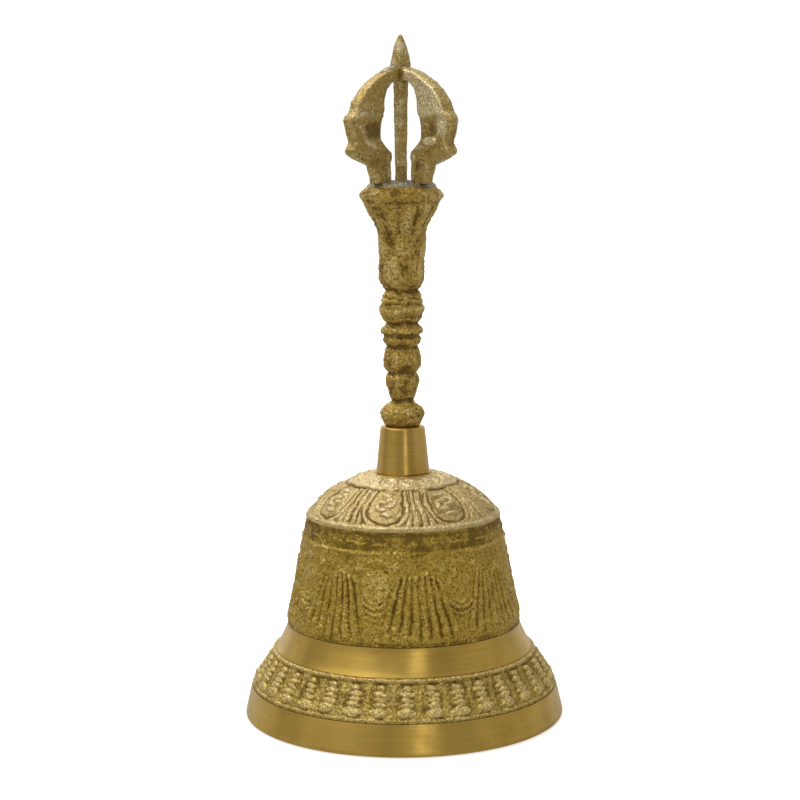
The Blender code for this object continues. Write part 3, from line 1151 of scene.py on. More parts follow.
class WaistRelief(Relief):
    """Worn links under the shoulder, then shields with folds and fans of strands."""

    name = "waist_relief"
    sizes = {"Depth": 1.0, "Grain": 0.90, "Seed": 7.0}
    level = (-0.62, 0.72)
    links = 24
    shields = 8

    def height(self, g: Graph, at: dict[str, Field], size: dict[str, Field]) -> Field:
        """Return the ornament's height in millimetres.

        Args:
            g: the tree's graph.
            at: the point's fields.
            size: the named sizes.

        Returns:
            The height as a field.
        """
        place = at["place"].socket
        seed = size["Seed"]
        worn = g.noise(place, 120.0, 2.0, 0.5, seed)
        clear = worn.rise(0.34, 0.56)
        sway = stray(at, 190.0, seed + 2.0, 2.8, 3.0, 0.55)
        s = at["along"] + stray(at, 240.0, seed + 4.0, 1.6)
        # links and a broken line
        x, _ = cell(at, self.links, 0.2)
        links = s.ridge(2.9, 0.45) * (x + sway).abs().rise(2.9, 2.3)
        line = (s + sway * 0.2).ridge(5.3, 0.6)
        upper = (links * 0.30 + line * 0.34) * clear - s.ridge(0.6, 1.2) * 0.26
        upper = upper - s.between(1.0, 4.4, 0.5) * 0.2
        # shields with a folded rim
        x, _ = cell(at, self.shields, -0.32)
        x = x + sway * 0.7
        level = oval(x, s - 13.2, 3.9, 4.5)
        shield = level.rise(1.0, 0.75) * 0.2
        low = s.rise(12.6, 15.4)
        folds = level.ridge(1.14, 0.13) * 0.46 + level.ridge(1.44, 0.12) * 0.38
        folds = folds + level.ridge(1.76, 0.10) * 0.32 + level.ridge(0.86, 0.1) * 0.24
        folds = (folds - level.ridge(1.29, 0.08) * 0.26) * low
        top = dome(x, s - 7.6, 2.8, 1.0) * 0.3 + dome(x.abs() - 4.4, s - 8.6, 1.3, 1.1) * 0.34
        # strands that fan out downwards
        x, _ = cell(at, self.shields, 0.18)
        fan = (x + sway * 0.6) / (s + 4.0) * (1.0 / 0.092)
        part = (fan.fract() - 0.5) * 2.0
        luck = ((fan.whole() * 12.9).sin() * 43.7 + worn * 0.8).fract() - 0.5
        round_top = (1.0 - part * part).top(0.0).root()
        out = fan * fan * 0.62
        reach = (s - 10.4 - out * 0.12 + luck * 1.6).rise(-0.7, 0.7)
        reach = reach * (s + out * 0.2 + luck * 2.4).rise(26.4, 24.6) * (0.85 + luck * 0.5)
        inside = fan.abs().rise(4.1, 3.8) * reach
        strands = (round_top * 1.1 - 0.88) * inside
        on_fan = fan.abs().rise(4.1, 3.9)
        knots = dome(part * 0.85, s - 10.4 - out * 0.12 + luck * 1.6, 0.95, 0.8) * on_fan
        tips = dome(part * 0.85, s - 24.2 + out * 0.2 + luck * 2.4, 0.95, 0.7) * on_fan
        strands = strands + knots * 0.24 + tips * 0.16
        vary = stray(at, 26.0, seed + 6.0, 3.0, 1.0, 0.5) + 0.85
        drapes = (shield * vary + folds) * (1.0 - inside)
        grain = stray(at, 1150.0, seed, size["Grain"], 3.0, 0.66)
        lumps = stray(at, 430.0, seed, 0.56, 2.0, 0.55)
        wide = stray(at, 70.0, seed, 0.2)
        calm = 1.0 - level.rise(1.0, 0.8) * 0.15
        body = (drapes + strands + top) * (clear * 0.45 + 0.55)
        foot = at["along"].ridge(26.9, 0.8) * -0.2
        return upper + body + foot + (grain + lumps) * calm + wide


class FenceRelief(Relief):
    """Upright posts of stacked lobes between two ridges."""

    name = "fence_relief"
    sizes = {"Depth": 1.0, "Grain": 0.95, "Seed": 11.0}
    level = (-0.50, 0.62)
    posts = 35

    def height(self, g: Graph, at: dict[str, Field], size: dict[str, Field]) -> Field:
        """Return the ornament's height in millimetres.

        Args:
            g: the tree's graph.
            at: the point's fields.
            size: the named sizes.

        Returns:
            The height as a field.
        """
        place = at["place"].socket
        worn = g.noise(place, 200.0, 2.0, 0.5, size["Seed"])
        x, _ = cell(at, self.posts, 0.1)
        x = x + stray(at, 280.0, size["Seed"] + 1.0, 2.3)
        s = at["along"] + stray(at, 280.0, size["Seed"] + 3.0, 1.6)
        post = dome(x, s - 2.5, 1.25, 0.85)
        for height, half, tall in ((3.95, 1.85, 0.78), (5.3, 1.65, 0.72), (6.6, 1.95, 0.78)):
            post = post.melt(dome(x, s - height, half, tall) * 0.9, 0.3)
        post = post.melt(dome(x, s - 8.5, 2.35, 1.3), 0.3)
        around = dome(x, s - 5.4, 2.9, 5.0).rise(0.0, 0.5) * (1.0 - post.rise(0.0, 0.35))
        ridges = at["along"].ridge(0.6, 0.75) * 0.40 + at["along"].ridge(10.3, 0.6) * 0.26
        moat = at["along"].ridge(1.45, 0.4) * 0.16 + at["along"].ridge(9.9, 0.3) * 0.10
        skin = stray(at, 1250.0, size["Seed"], size["Grain"], 3.0, 0.66)
        lumps = stray(at, 520.0, size["Seed"], 0.6)
        shape = (post * 0.56 - around * 0.24) * s.between(1.4, 9.9, 0.3)
        return shape * (worn.rise(0.25, 0.55) * 0.4 + 0.65) + ridges - moat + skin + lumps


class HandleRelief(Relief):
    """Lotus flutes, leaves on the grip, wavy ridges, rings and facets."""

    name = "handle_relief"
    creases = (
        (127.9, 0.14), (106.4, 0.34), (98.1, 0.30), (95.2, 0.26), (92.5, 0.26), (86.0, 0.24),
        (78.9, 0.30),
    )

    sizes = {"Depth": 1.0, "Grain": 1.05, "Seed": 5.0}
    level = (-0.50, 0.60)
    flutes = 11
    leaves = 5
    facets = 6

    def height(self, g: Graph, at: dict[str, Field], size: dict[str, Field]) -> Field:
        """Return the ornament's height in millimetres.

        Args:
            g: the tree's graph.
            at: the point's fields.
            size: the named sizes.

        Returns:
            The height as a field.
        """
        place = at["place"].socket
        turn = at["turn"]
        seed = size["Seed"]
        sway = stray(at, 230.0, seed + 2.0, 2.0)
        z = at["tall"] + stray(at, 260.0, seed + 4.0, 1.8)
        worn = g.noise(place, 150.0, 2.0, 0.5, seed)
        # lotus cup
        x, _ = cell(at, self.flutes, 0.35)
        side = (x + sway * 0.5).abs() / (at["radius"] * (FULL_TURN / 2 / self.flutes))
        flutes = side.rise(0.75, 0.0) * 0.2 - side.ridge(1.0, 0.3) * 0.34
        clear = (turn - 0.7).cos().rise(0.2, 0.95) * 0.75 + 0.25
        lotus = flutes * z.between(120.6, 126.6, 0.9) * clear
        # grip: long leaves in two tiers
        grip = None
        for shift, height, tall in ((0.1, 117.2, 4.6), (0.6, 111.0, 4.4)):
            x, _ = cell(at, self.leaves, shift)
            level = oval(x, z - height, 2.9, tall)
            leaf = level.rise(1.1, 0.35) * 0.34 - level.ridge(1.1, 0.2) * 0.2
            leaf = leaf - x.abs().rise(0.45, 0.0) * level.rise(0.9, 0.6) * 0.16
            grip = leaf if grip is None else grip.top(leaf)
        grip = (grip - 0.1) * z.between(107.8, 121.0, 0.8)
        # bulge
        swing = (turn + 0.6).cos() * 0.6 + z
        bulge = z.ridge(105.1, 0.5) * 0.22 + z.ridge(103.9, 0.45) * 0.2
        bulge = bulge + swing.ridge(101.9, 1.0) * 0.32 - z.ridge(103.2, 0.45) * 0.2
        bulge = bulge - z.ridge(104.5, 0.3) * 0.14 - swing.ridge(100.2, 0.6) * 0.16
        # baluster facets
        x, _ = cell(at, self.facets, 0.2)
        side = x / (at["radius"] * (FULL_TURN / 2 / self.facets))
        facets = (side * side) * 0.22 - 0.06
        facets = facets * (z.between(87.2, 91.6, 0.8) + z.between(79.8, 84.8, 0.8))
        shape = lotus + grip + bulge + facets
        for height, depth in self.creases:
            shape = shape - z.ridge(height, 0.75) * depth
        shape = shape + z.ridge(129.4, 0.9) * 0.12
        skin = stray(at, 1150.0, seed, size["Grain"], 3.0, 0.66)
        lumps = stray(at, 420.0, seed, 0.6)
        wide = stray(at, 120.0, seed, 0.5)
        return shape * (worn.rise(0.25, 0.55) * 0.35 + 0.7) + skin + lumps + wide


class RoughCasting(Relief):
    """Plain uneven cast skin, as on solder and the centre bar."""

    name = "rough_casting"

    def __init__(self, seed: float, grain: float) -> None:
        """Keep the pattern's seed and the grain's depth in millimetres."""
        self.sizes = {"Depth": 1.0, "Grain": grain, "Seed": seed}

    level = (-0.34, 0.34)

    def height(self, g: Graph, at: dict[str, Field], size: dict[str, Field]) -> Field:
        """Return the skin's height in millimetres."""
        skin = stray(at, 1000.0, size["Seed"], size["Grain"], 3.0, 0.62)
        return skin + stray(at, 330.0, size["Seed"], size["Grain"] * 1.7)


class ProngRelief(RoughCasting):
    """Curved lips, folds and a brow on the flat sides of a prong.

    Attributes:
        folds: start, end, half width and height of each fold, in millimetres.
        hollows: centre, half sizes and depth of each hollow, in millimetres.
    """

    name = "prong_relief"
    folds = (
        ((15.2, 146.2), (13.4, 142.6), 0.9, 0.18), ((13.4, 142.6), (10.6, 141.2), 1.1, 0.26),
        ((10.6, 141.2), (7.4, 140.8), 1.0, 0.22), ((17.0, 148.2), (14.2, 149.0), 1.0, 0.2),
        ((14.2, 149.0), (9.0, 148.4), 1.0, 0.14), ((16.6, 140.5), (12.4, 139.7), 1.0, 0.16),
        ((6.2, 139.0), (5.8, 133.6), 0.9, 0.26),
    )
    hollows = (
        (11.0, 145.2, 3.4, 2.6, 0.24), (15.2, 142.6, 1.2, 1.0, 0.12), (7.0, 136.4, 1.6, 1.8, 0.14)
    )

    level = (-0.52, 0.70)

    def __init__(self, seed: float, grain: float, cleaned_and_lit_share: float) -> None:
        """Keep the seed, the grain's depth and how far the flat sides turn light cream: cleaned by
        grinding, and a painted highlight where a side faces the key light.
        """
        super().__init__(seed, grain)
        self.cleaned_and_lit_share = cleaned_and_lit_share

    def height(self, g: Graph, at: dict[str, Field], size: dict[str, Field]) -> Field:
        """Return the relief's height in millimetres.

        Args:
            g: the tree's graph.
            at: the point's fields.
            size: the named sizes.

        Returns:
            The height as a field.
        """
        bend = stray(at, 260.0, size["Seed"] + 3.0, 1.6)
        across, up = at["radius"] + bend, at["tall"] - bend * 0.6
        total = super().height(g, at, size)
        for start, end, half, high in self.folds:
            total = total.top(strand(across, up, start, end, half) * high + total * 0.5)
        for rho, height, half, tall, deep in self.hollows:
            total = total - dome(across - rho, up - height, half, tall).power(1.5) * deep
        # light cream on the upper arcs and flat sides: partly cleaned by grinding, partly a painted
        # highlight of the key light; the relief tone carries it into the worn colour
        cleaned_and_lit_area = up.rise(148.2, 149.2) + dome(across - 11.6, up - 142.6, 2.4, 1.1).rise(0.1, 0.4)
        cleaned_and_lit_area = cleaned_and_lit_area.top(dome(across - 15.6, up - 145.0, 2.2, 4.4).rise(0.05, 0.9) * 0.6)
        out_x, out_y, _ = g.split(at["out"].socket)
        side = (out_x * at["turn"].cos() + out_y * at["turn"].sin()).abs().rise(0.75, 0.9)
        return total + cleaned_and_lit_area * side * self.cleaned_and_lit_share


# --------------------------------------------------------------------------- the bell
@dataclass
class BellCasting:
    """The cast bell: ornamented skins on a turned shell.

    Attributes:
        crown, waist, fence: (radius, height) down the three ornamented bands.
        upper_band, lip_band: the two polished bands.
        inside: up the inner side, from the rim to the stud's hole.
        bed: how far the shell lies under the ornamented skins.
    """

    crown: list[Point] = field(default_factory=lambda: [
        (7.0, 60.55), (9.4, 60.05), (13.8, 58.7), (17.0, 57.15), (20.0, 55.05), (22.4, 52.7),
        (23.75, 51.2), (24.35, 50.3),
    ])
    waist: list[Point] = field(default_factory=lambda: [
        (24.35, 50.3), (24.75, 48.0), (25.15, 45.5), (26.5, 38.0), (28.15, 30.0),
        (28.95, 26.2), (29.3, 23.5),
    ])
    upper_band: list[Point] = field(default_factory=lambda: [
        (29.25, 23.3), (29.45, 22.2), (30.35, 20.2), (31.35, 18.2), (32.2, 16.9),
    ])
    fence: list[Point] = field(default_factory=lambda: [
        (32.25, 16.8), (33.2, 15.3), (35.2, 12.2), (37.2, 9.2), (38.15, 7.6),
    ])
    lip_band: list[Point] = field(default_factory=lambda: [
        (38.3, 7.5), (38.75, 6.0), (39.3, 3.6), (39.8, 1.5), (39.97, 0.6),
    ])
    inside: list[Point] = field(default_factory=lambda: [
        (36.4, 0.25), (35.2, 5.0), (33.0, 10.0), (30.2, 15.0), (27.9, 20.0), (26.5, 25.0),
        (24.5, 35.0), (22.4, 45.0), (21.2, 49.0), (18.2, 52.5), (13.6, 55.4), (8.0, 57.4),
    ])
    bed: float = 0.75

    def _sunk(self, run: list[Point]) -> list[Point]:
        """Return a run moved inwards by the bed's depth.

        Args:
            run: (radius, height) down an ornamented band.

        Returns:
            The points of the sunk run.
        """
        curve = smooth_run(run, 1.5)
        moved = offset_run(curve, self.bed, 1.5)[::-1]
        return [tuple(point) for point in moved.tolist()]

    def shell(self) -> bpy.types.Mesh:
        """Return the turned shell with its polished bands and its inner side.

        Returns:
            The new mesh.
        """
        crown, waist, fence = (self._sunk(r) for r in (self.crown, self.waist, self.fence))
        runs = [
            [(BORE, 60.86), (6.9, 60.86)], [(6.9, 60.86), crown[0]], crown, [crown[-1], waist[0]],
            waist, [waist[-1], self.upper_band[0]], self.upper_band,
            [self.upper_band[-1], fence[0]], fence, [fence[-1], self.lip_band[0]],
            self.lip_band, [self.lip_band[-1], (39.9, 0.2), (39.6, 0.0)],
            [(39.6, 0.0), (36.7, 0.0)], [(36.7, 0.0), self.inside[0]], self.inside,
            [(8.0, 57.4), (BORE, 57.4)],
        ]
        profile = join_runs(runs, 0.55)
        return Turning(profile, 240, closed=True).mesh("bell_shell", 30.0)

    @staticmethod
    def skin(name: str, run: list[Point], around: int, step: float) -> bpy.types.Mesh:
        """Return a thin closed ring whose outer side can take ornament.

        Args:
            name: the mesh's name.
            run: (radius, height) down the band.
            around: points in each ring.
            step: distance between the rings in millimetres.

        Returns:
            The new mesh.
        """
        face = smooth_run(run, step)
        back = offset_run(face, 1.25, 2.0)
        profile = np.vstack([face, back])
        return Turning(profile, around, True, relief_rows=len(face)).mesh(name, SMOOTH)

    def build(self, finishes: Finishes) -> None:
        """Build the bell's pieces.

        Args:
            finishes: the bell's finishes.
        """
        shell = show("bell_shell", self.shell(), finishes.polished)
        finish_piece(shell, Body.BELL, Slot.CAST, "bell_body")
        for name, run, around, step, rule, metal in (
            ("bell_crown", self.crown, 780, 0.185, CrownRelief(), finishes.crown),
            ("bell_waist", self.waist, 700, 0.215, WaistRelief(), finishes.waist),
            ("bell_fence", self.fence, 1220, 0.155, FenceRelief(), finishes.fence),
        ):
            band = show(name, self.skin(name, run, around, step))
            rule.carve(band, metal)
            finish_piece(band, Body.BELL, Slot.CAST, "bell_body")


@dataclass
class NeckCollar:
    """The turned, tapered ferrule between crown and handle."""

    base_radius: float = 6.65
    top_radius: float = 5.6
    base: float = 60.88
    top: float = 72.6

    def build(self, finishes: Finishes) -> None:
        """Build the collar.

        Args:
            finishes: the bell's finishes.
        """
        rim, foot, top, base = self.top_radius, self.base_radius, self.top, self.base
        rolled = [(rim - 0.7, top), (rim - 0.25, top - 0.15), (rim - 0.02, top - 0.6)]
        rolled.append((rim + 0.08, top - 1.6))
        runs = [[(BORE, top), rolled[0]], rolled]
        runs += edges(
            rolled[-1], (foot, base + 0.3), (foot - 0.15, base), (BORE, base), (BORE, top - 0.3)
        )
        mesh = Turning(join_runs(runs, 0.35), 160, closed=True).mesh("turned_collar", 30.0)
        piece = show("turned_collar", mesh, finishes.collar)
        finish_piece(piece, Body.BELL, Slot.TURNED, "neck_collar")


# --------------------------------------------------------------------------- the handle
@dataclass
class Handle:
    """The handle's casting, from the lotus cup down to the bottom bead."""

    outside: list[Point] = field(default_factory=lambda: [
        (8.4, 131.6), (9.6, 130.6), (10.1, 129.7), (9.8, 128.7), (8.9, 127.0), (8.0, 125.0),
        (6.8, 123.0), (6.0, 121.0), (5.7, 118.5), (5.45, 114.0), (5.4, 109.0), (4.8, 107.4),
        (4.3, 106.2), (4.75, 104.8), (5.1, 103.2), (5.25, 101.2), (4.9, 99.6), (4.1, 98.0),
        (5.0, 96.9), (5.2, 96.0), (4.5, 95.2), (4.6, 93.9), (4.0, 92.4), (4.6, 89.6),
        (4.4, 87.6), (3.6, 85.9), (4.1, 84.2), (3.5, 81.4), (3.0, 78.8), (4.5, 77.4),
        (5.5, 75.8), (5.0, 74.2), (4.1, 72.75),
    ])

    def build(self, finishes: Finishes) -> None:
        """Build the handle.

        Args:
            finishes: the bell's finishes.
        """
        face = join_runs([[(4.0, 131.75), (8.0, 131.7), (8.4, 131.6)], self.outside], 0.21)
        hidden = join_runs(edges((4.1, 72.75), (1.9, 72.7), (1.9, 87.0), (0.0, 87.0)), 2.0)
        profile = np.vstack([[[0.0, 131.75]], face, hidden[1:]])
        turning = Turning(profile, 230, closed=False, relief_rows=len(face))
        piece = show("handle_casting", turning.mesh("handle_casting", SMOOTH))
        HandleRelief().carve(piece, finishes.handle)
        finish_piece(piece, Body.BELL, Slot.HANDLE, "handle_grip")


@dataclass
class VajraHead:
    """Solder bed, central bar with its spike, and four toothed prongs.

    Attributes:
        outline: (radius, height) round one prong seen from its side.
        thickness: how thick a prong is.
        cleaned_and_lit_share: how far each prong's flat sides and upper arcs are raised and turn
            light cream. This is partly cleaned by grinding and partly a painted highlight, most on
            the front right prong, whose side faces the key light.
        turn: angle in degrees of the first prong from +X.
        cell: size of the cubes that the soft casting is made from.
        first_seed: seed of the first prong's skin.
        bar_points: points round the central bar.
        bar: (height, half width, roundness) up the central bar and its spike.
    """

    outline: list[Point] = field(default_factory=lambda: [
        (5.0, 132.4), (9.4, 132.4), (9.5, 134.0), (10.3, 135.7), (10.5, 136.8), (15.4, 138.5),
        (17.4, 139.6), (17.6, 140.5), (16.3, 142.4), (17.1, 144.5), (18.1, 147.5), (17.5, 148.5),
        (16.2, 149.6), (15.2, 152.1), (12.8, 155.0), (10.4, 156.9), (6.8, 158.9), (4.4, 159.9),
        (1.2, 160.8), (1.2, 157.4), (4.6, 156.9), (6.4, 155.3), (7.3, 153.0), (7.5, 150.4),
        (8.2, 147.0), (8.3, 143.2), (6.7, 141.5), (4.8, 140.0), (4.6, 138.8), (5.0, 137.4),
    ])
    thickness: float = 3.3
    cleaned_and_lit_share: tuple[float, ...] = (0.1, 0.25, 0.08, 0.48)
    turn: float = 45.0
    cell: float = 0.24
    first_seed: float = 21.0
    bar_points: int = 32
    bar: tuple[tuple[float, float, float], ...] = (
        (132.2, 1.45, 0.0), (140.0, 1.45, 0.1), (150.0, 1.55, 0.2), (160.2, 1.7, 0.3),
        (160.7, 1.75, 1.0), (161.2, 1.78, 1.0), (163.4, 1.5, 1.0), (165.6, 1.12, 1.0),
        (167.2, 0.66, 1.0), (168.1, 0.34, 1.0), (168.4, 0.12, 1.0),
    )

    def prong(self, name: str, angle: float) -> bpy.types.Object:
        """Return one prong as a softly edged casting.

        Args:
            name: the piece's name.
            angle: its direction in degrees from +X.

        Returns:
            The prong's object.
        """
        form = bmesh.new()
        half = self.thickness / 2
        ring = [form.verts.new((r * MM, -half * MM, z * MM)) for r, z in self.outline]
        face = form.faces.new(ring)
        grown = bmesh.ops.extrude_face_region(form, geom=[face])
        moved = [item for item in grown["geom"] if isinstance(item, bmesh.types.BMVert)]
        bmesh.ops.translate(form, verts=moved, vec=(0.0, self.thickness * MM, 0.0))
        bmesh.ops.recalc_face_normals(form, faces=form.faces)
        form.transform(Matrix.Rotation(math.radians(angle), 4, "Z"))
        piece = show(name, baked(form, name))
        soft = piece.modifiers.new("soft_edges", "BEVEL")
        soft.width, soft.segments = 0.4 * MM, 3
        soft.limit_method = "ANGLE"
        soft.angle_limit = math.radians(50.0)
        cast = piece.modifiers.new("casting", "REMESH")
        cast.mode, cast.voxel_size, cast.use_smooth_shade = "VOXEL", self.cell * MM, True
        flow = piece.modifiers.new("flow", "SMOOTH")
        flow.factor, flow.iterations = 0.5, 1
        settle(piece)
        self.mark(piece.data)
        return piece

    @staticmethod
    def mark(mesh: bpy.types.Mesh) -> None:
        """Store place and normal on a free form, as the reliefs expect them.

        Args:
            mesh: the mesh, in metres.
        """
        count = len(mesh.vertices)
        points = np.empty(count * 3)
        mesh.vertices.foreach_get("co", points)
        points = points.reshape(-1, 3) / MM
        normals = np.empty(count * 3, np.float32)
        mesh.vertex_normals.foreach_get("vector", normals)
        radius = np.hypot(points[:, 0], points[:, 1])
        values = {
            "turn": np.arctan2(points[:, 0], -points[:, 1]) % FULL_TURN,
            "along": points[:, 2],
            "radius": radius,
            "tall": points[:, 2],
            "skin": np.ones(count),
        }
        store(mesh, values, normals)

    def centre(self) -> bpy.types.Object:
        """Return the central bar with its four-sided spike.

        Returns:
            The bar's object.
        """
        form = bmesh.new()
        rings = []
        for height, half, square in self.bar:
            reaches = []
            for step in range(self.bar_points):
                turn = step * FULL_TURN / self.bar_points
                reach = half / max(abs(math.cos(turn)), abs(math.sin(turn)))
                reaches.append(half * (1 - square) + reach * square)
            rings.append(ring_of(form, reaches, height, math.radians(self.turn)))
        bridge(form, rings)
        form.faces.new(rings[0][::-1])
        form.faces.new(rings[-1])
        piece = show("centre_bar", baked(form, "centre_bar"))
        cast = piece.modifiers.new("casting", "REMESH")
        cast.mode, cast.voxel_size, cast.use_smooth_shade = "VOXEL", 0.13 * MM, True
        settle(piece)
        self.mark(piece.data)
        return piece

    @staticmethod
    def lump(name: str, run: list[Point], back: list[Point], around: int) -> bpy.types.Object:
        """Return a low lump of solder whose upper side can be roughened.

        Args:
            name: the piece's name.
            run: (radius, height) down the upper side, from the axis.
            back: (radius, height) along the hidden side, back to the axis.
            around: points in each ring.

        Returns:
            The lump's object.
        """
        face = smooth_run(run, 0.2)
        profile = np.vstack([[[0.0, run[0][1]]], face, back])
        turning = Turning(profile, around, closed=False, relief_rows=len(face))
        return show(name, turning.mesh(name, SMOOTH))

    def solder(self) -> bpy.types.Object:
        """Return the uneven bed of solder on the lotus cup."""
        run = [(0.3, 133.1), (5.0, 133.05), (7.2, 132.8), (8.1, 132.2), (8.5, 131.5)]
        return self.lump("solder_bed", run, [(8.0, 131.2), (2.0, 131.2), (0.0, 131.2)], 150)

    def apex(self) -> bpy.types.Object:
        """Return the lump of solder where the prongs meet the bar."""
        run = [(0.3, 161.0), (1.7, 160.9), (2.4, 160.3), (2.3, 159.6)]
        return self.lump("apex_solder", run, [(1.0, 159.3), (0.0, 159.3)], 80)

    def smear(self) -> bpy.types.Object:
        """Return the run of solder along the crest of the front left prong.

        Returns:
            The solder's object.
        """
        form = bmesh.new()
        bmesh.ops.create_icosphere(form, subdivisions=5, radius=MM)
        shape = (
            Matrix.Rotation(math.radians(self.turn + 180.0), 4, "Z")
            @ Matrix.Translation((3.6 * MM, 0.0, 160.05 * MM))
            @ Matrix.Rotation(math.radians(18.5), 4, "Y")
            @ Matrix.Diagonal((3.2, 1.35, 0.62, 1.0))
        )
        form.transform(shape)
        mesh = baked(form, "solder_smear")
        mesh.shade_smooth()
        self.mark(mesh)
        return show("solder_smear", mesh)

    def build(self, finishes: Finishes) -> None:
        """Build the head.

        Args:
            finishes: the bell's finishes.
        """
        names = ("prong_back_right", "prong_back_left", "prong_front_left", "prong_front_right")
        for index, name in enumerate(names):
            piece = self.prong("cast_" + name, self.turn + 90.0 * index)
            # each prong's share of painted highlight and grinding on its flat sides: the front
            # right one, whose side faces the key light, is lightest
            rule = ProngRelief(self.first_seed + index, 0.36, self.cleaned_and_lit_share[index])
            rule.carve(piece, finishes.prong)
            finish_piece(piece, Body.BELL, Slot.HANDLE, name)
        for make, seed, grain, metal, slot, node in (
            (self.centre, 31.0, 0.3, finishes.prong, Slot.HANDLE, "centre_prong"),
            (self.solder, 37.0, 0.6, finishes.solder, Slot.SOLDER, "base_solder"),
            (self.apex, 41.0, 0.6, finishes.solder, Slot.SOLDER, "centre_prong"),
            (self.smear, 43.0, 0.3, finishes.solder, Slot.SOLDER, "prong_front_left"),
        ):
            piece = make()
            RoughCasting(seed, grain).carve(piece, metal)
            finish_piece(piece, Body.BELL, slot, node)


# --------------------------------------------------------------------------- the clapper
@dataclass
class Suspension:
    """Stud with its eye, washer and nut, and the link that hangs in the eye.

    Attributes:
        eye_z, eye_radius, eye_wire: the eye's centre, the radius of its ring and its wire's.
        link_wire, link_end, link_straight: radius of the link's wire and of its round ends,
            and the length of its straight sides.
        thread_top, thread_foot, thread_pitch: the stud's thread.
        nut_across, nut_points: the nut's width across flats, and points round it.
    """

    eye_z: float = 48.5
    eye_radius: float = 3.0
    eye_wire: float = 1.0
    link_wire: float = 0.8
    link_end: float = 2.7
    link_straight: float = 4.4
    thread_top: float = 86.0
    thread_foot: float = 53.0
    thread_pitch: float = 0.5
    nut_across: float = 5.5
    nut_points: int = 72

    @property
    def link_top(self) -> float:
        """Height of the link's upper wire."""
        return self.eye_z - self.eye_radius + self.eye_wire + self.link_wire + 0.3

    def build(self, finishes: Finishes) -> None:
        """Build the suspension.

        Args:
            finishes: the bell's finishes.
        """
        self._stud(finishes.steel)
        self._washer(finishes.steel)
        self._nut(finishes.steel)
        self._link(finishes.iron)

    def _stud(self, metal: bpy.types.Material) -> None:
        """The threaded stud and its eye, joined.

        Args:
            metal: the metal that it is made of.
        """
        run = [(0.0, 86.7), (1.2, 86.7), (1.5, 86.3)]
        height = self.thread_top
        while height > self.thread_foot:
            run += [(1.5, height), (1.28, height - self.thread_pitch / 2)]
            height -= self.thread_pitch
        run += [(1.45, 52.8), (1.5, 51.9), (1.5, 51.2), (0.0, 51.2)]
        turning = Turning(np.array(run), 48, closed=False)
        stud = show("eye_stud", turning.mesh("eye_stud", 60.0), metal)
        ring = eye_path(self.eye_z, self.eye_radius, 64)
        eye = wire_mesh("eye_ring", ring, self.eye_wire, 20, metal)
        join_solid(stud, show("eye_ring", eye, metal))
        finish_piece(stud, Body.BELL, Slot.STEEL, "eye_bolt")

    @staticmethod
    def _washer(metal: bpy.types.Material) -> None:
        """The washer under the crown.

        Args:
            metal: the metal that it is made of.
        """
        top, low = 57.38, 56.2
        runs = edges(
            (BORE, top), (4.2, top), (4.4, top - 0.2), (4.4, low + 0.2), (4.2, low), (BORE, low),
            (BORE, top - 0.2),
        )
        profile = join_runs(runs, 0.3)
        piece = show("round_washer", Turning(profile, 72, True).mesh("round_washer", 30.0), metal)
        finish_piece(piece, Body.BELL, Slot.STEEL, "crown_washer")

    def _nut(self, metal: bpy.types.Material) -> None:
        """The hexagonal nut, with its corners turned off.

        Args:
            metal: the metal that it is made of.
        """
        top, low = 56.18, 53.6
        corner = self.nut_across / 2 / math.cos(FULL_TURN / 12)
        form = bmesh.new()
        outer, inner = [], []
        for height, share, bore in (
            (top, 0.92, 1.9), (top - 0.35, 1.0, 1.62), (low + 0.35, 1.0, 1.62), (low, 0.92, 1.9)
        ):
            reaches = []
            for step in range(self.nut_points):
                turn = step * FULL_TURN / self.nut_points
                aside = (turn % (FULL_TURN / 6)) - FULL_TURN / 12
                reaches.append(min(self.nut_across / 2 / math.cos(aside), corner * share))
            outer.append(ring_of(form, reaches, height))
            inner.append(ring_of(form, [bore] * self.nut_points, height))
        bridge(form, [*outer, *inner[::-1], outer[0]])
        bmesh.ops.recalc_face_normals(form, faces=form.faces)
        mesh = baked(form, "hex_nut")
        mesh.shade_smooth()
        mesh.set_sharp_from_angle(angle=math.radians(20.0))
        piece = show("hex_nut", mesh, metal)
        finish_piece(piece, Body.BELL, Slot.STEEL, "crown_nut")

    def _link(self, metal: bpy.types.Material) -> None:
        """The long link of round wire.

        Args:
            metal: the metal that it is made of.
        """
        path = []
        middle = self.link_top - self.link_end - self.link_straight / 2
        for side in (1.0, -1.0):
            centre = middle + side * self.link_straight / 2
            for turn in np.linspace(0.0, math.pi, 17):
                path.append((
                    0.0, side * self.link_end * math.cos(turn),
                    centre + side * self.link_end * math.sin(turn),
                ))
        piece = show("iron_link", wire_mesh("iron_link", path, self.link_wire, 18, metal), metal)
        finish_piece(piece, Body.LINK, Slot.IRON, "swing_link")


def eye_path(height: float, radius: float, count: int) -> list[tuple[float, float, float]]:
    """Return a ring in the plane y = 0, as points in millimetres."""
    turns = np.linspace(0.0, FULL_TURN, count, endpoint=False)
    return [(radius * math.sin(a), 0.0, height + radius * math.cos(a)) for a in turns]


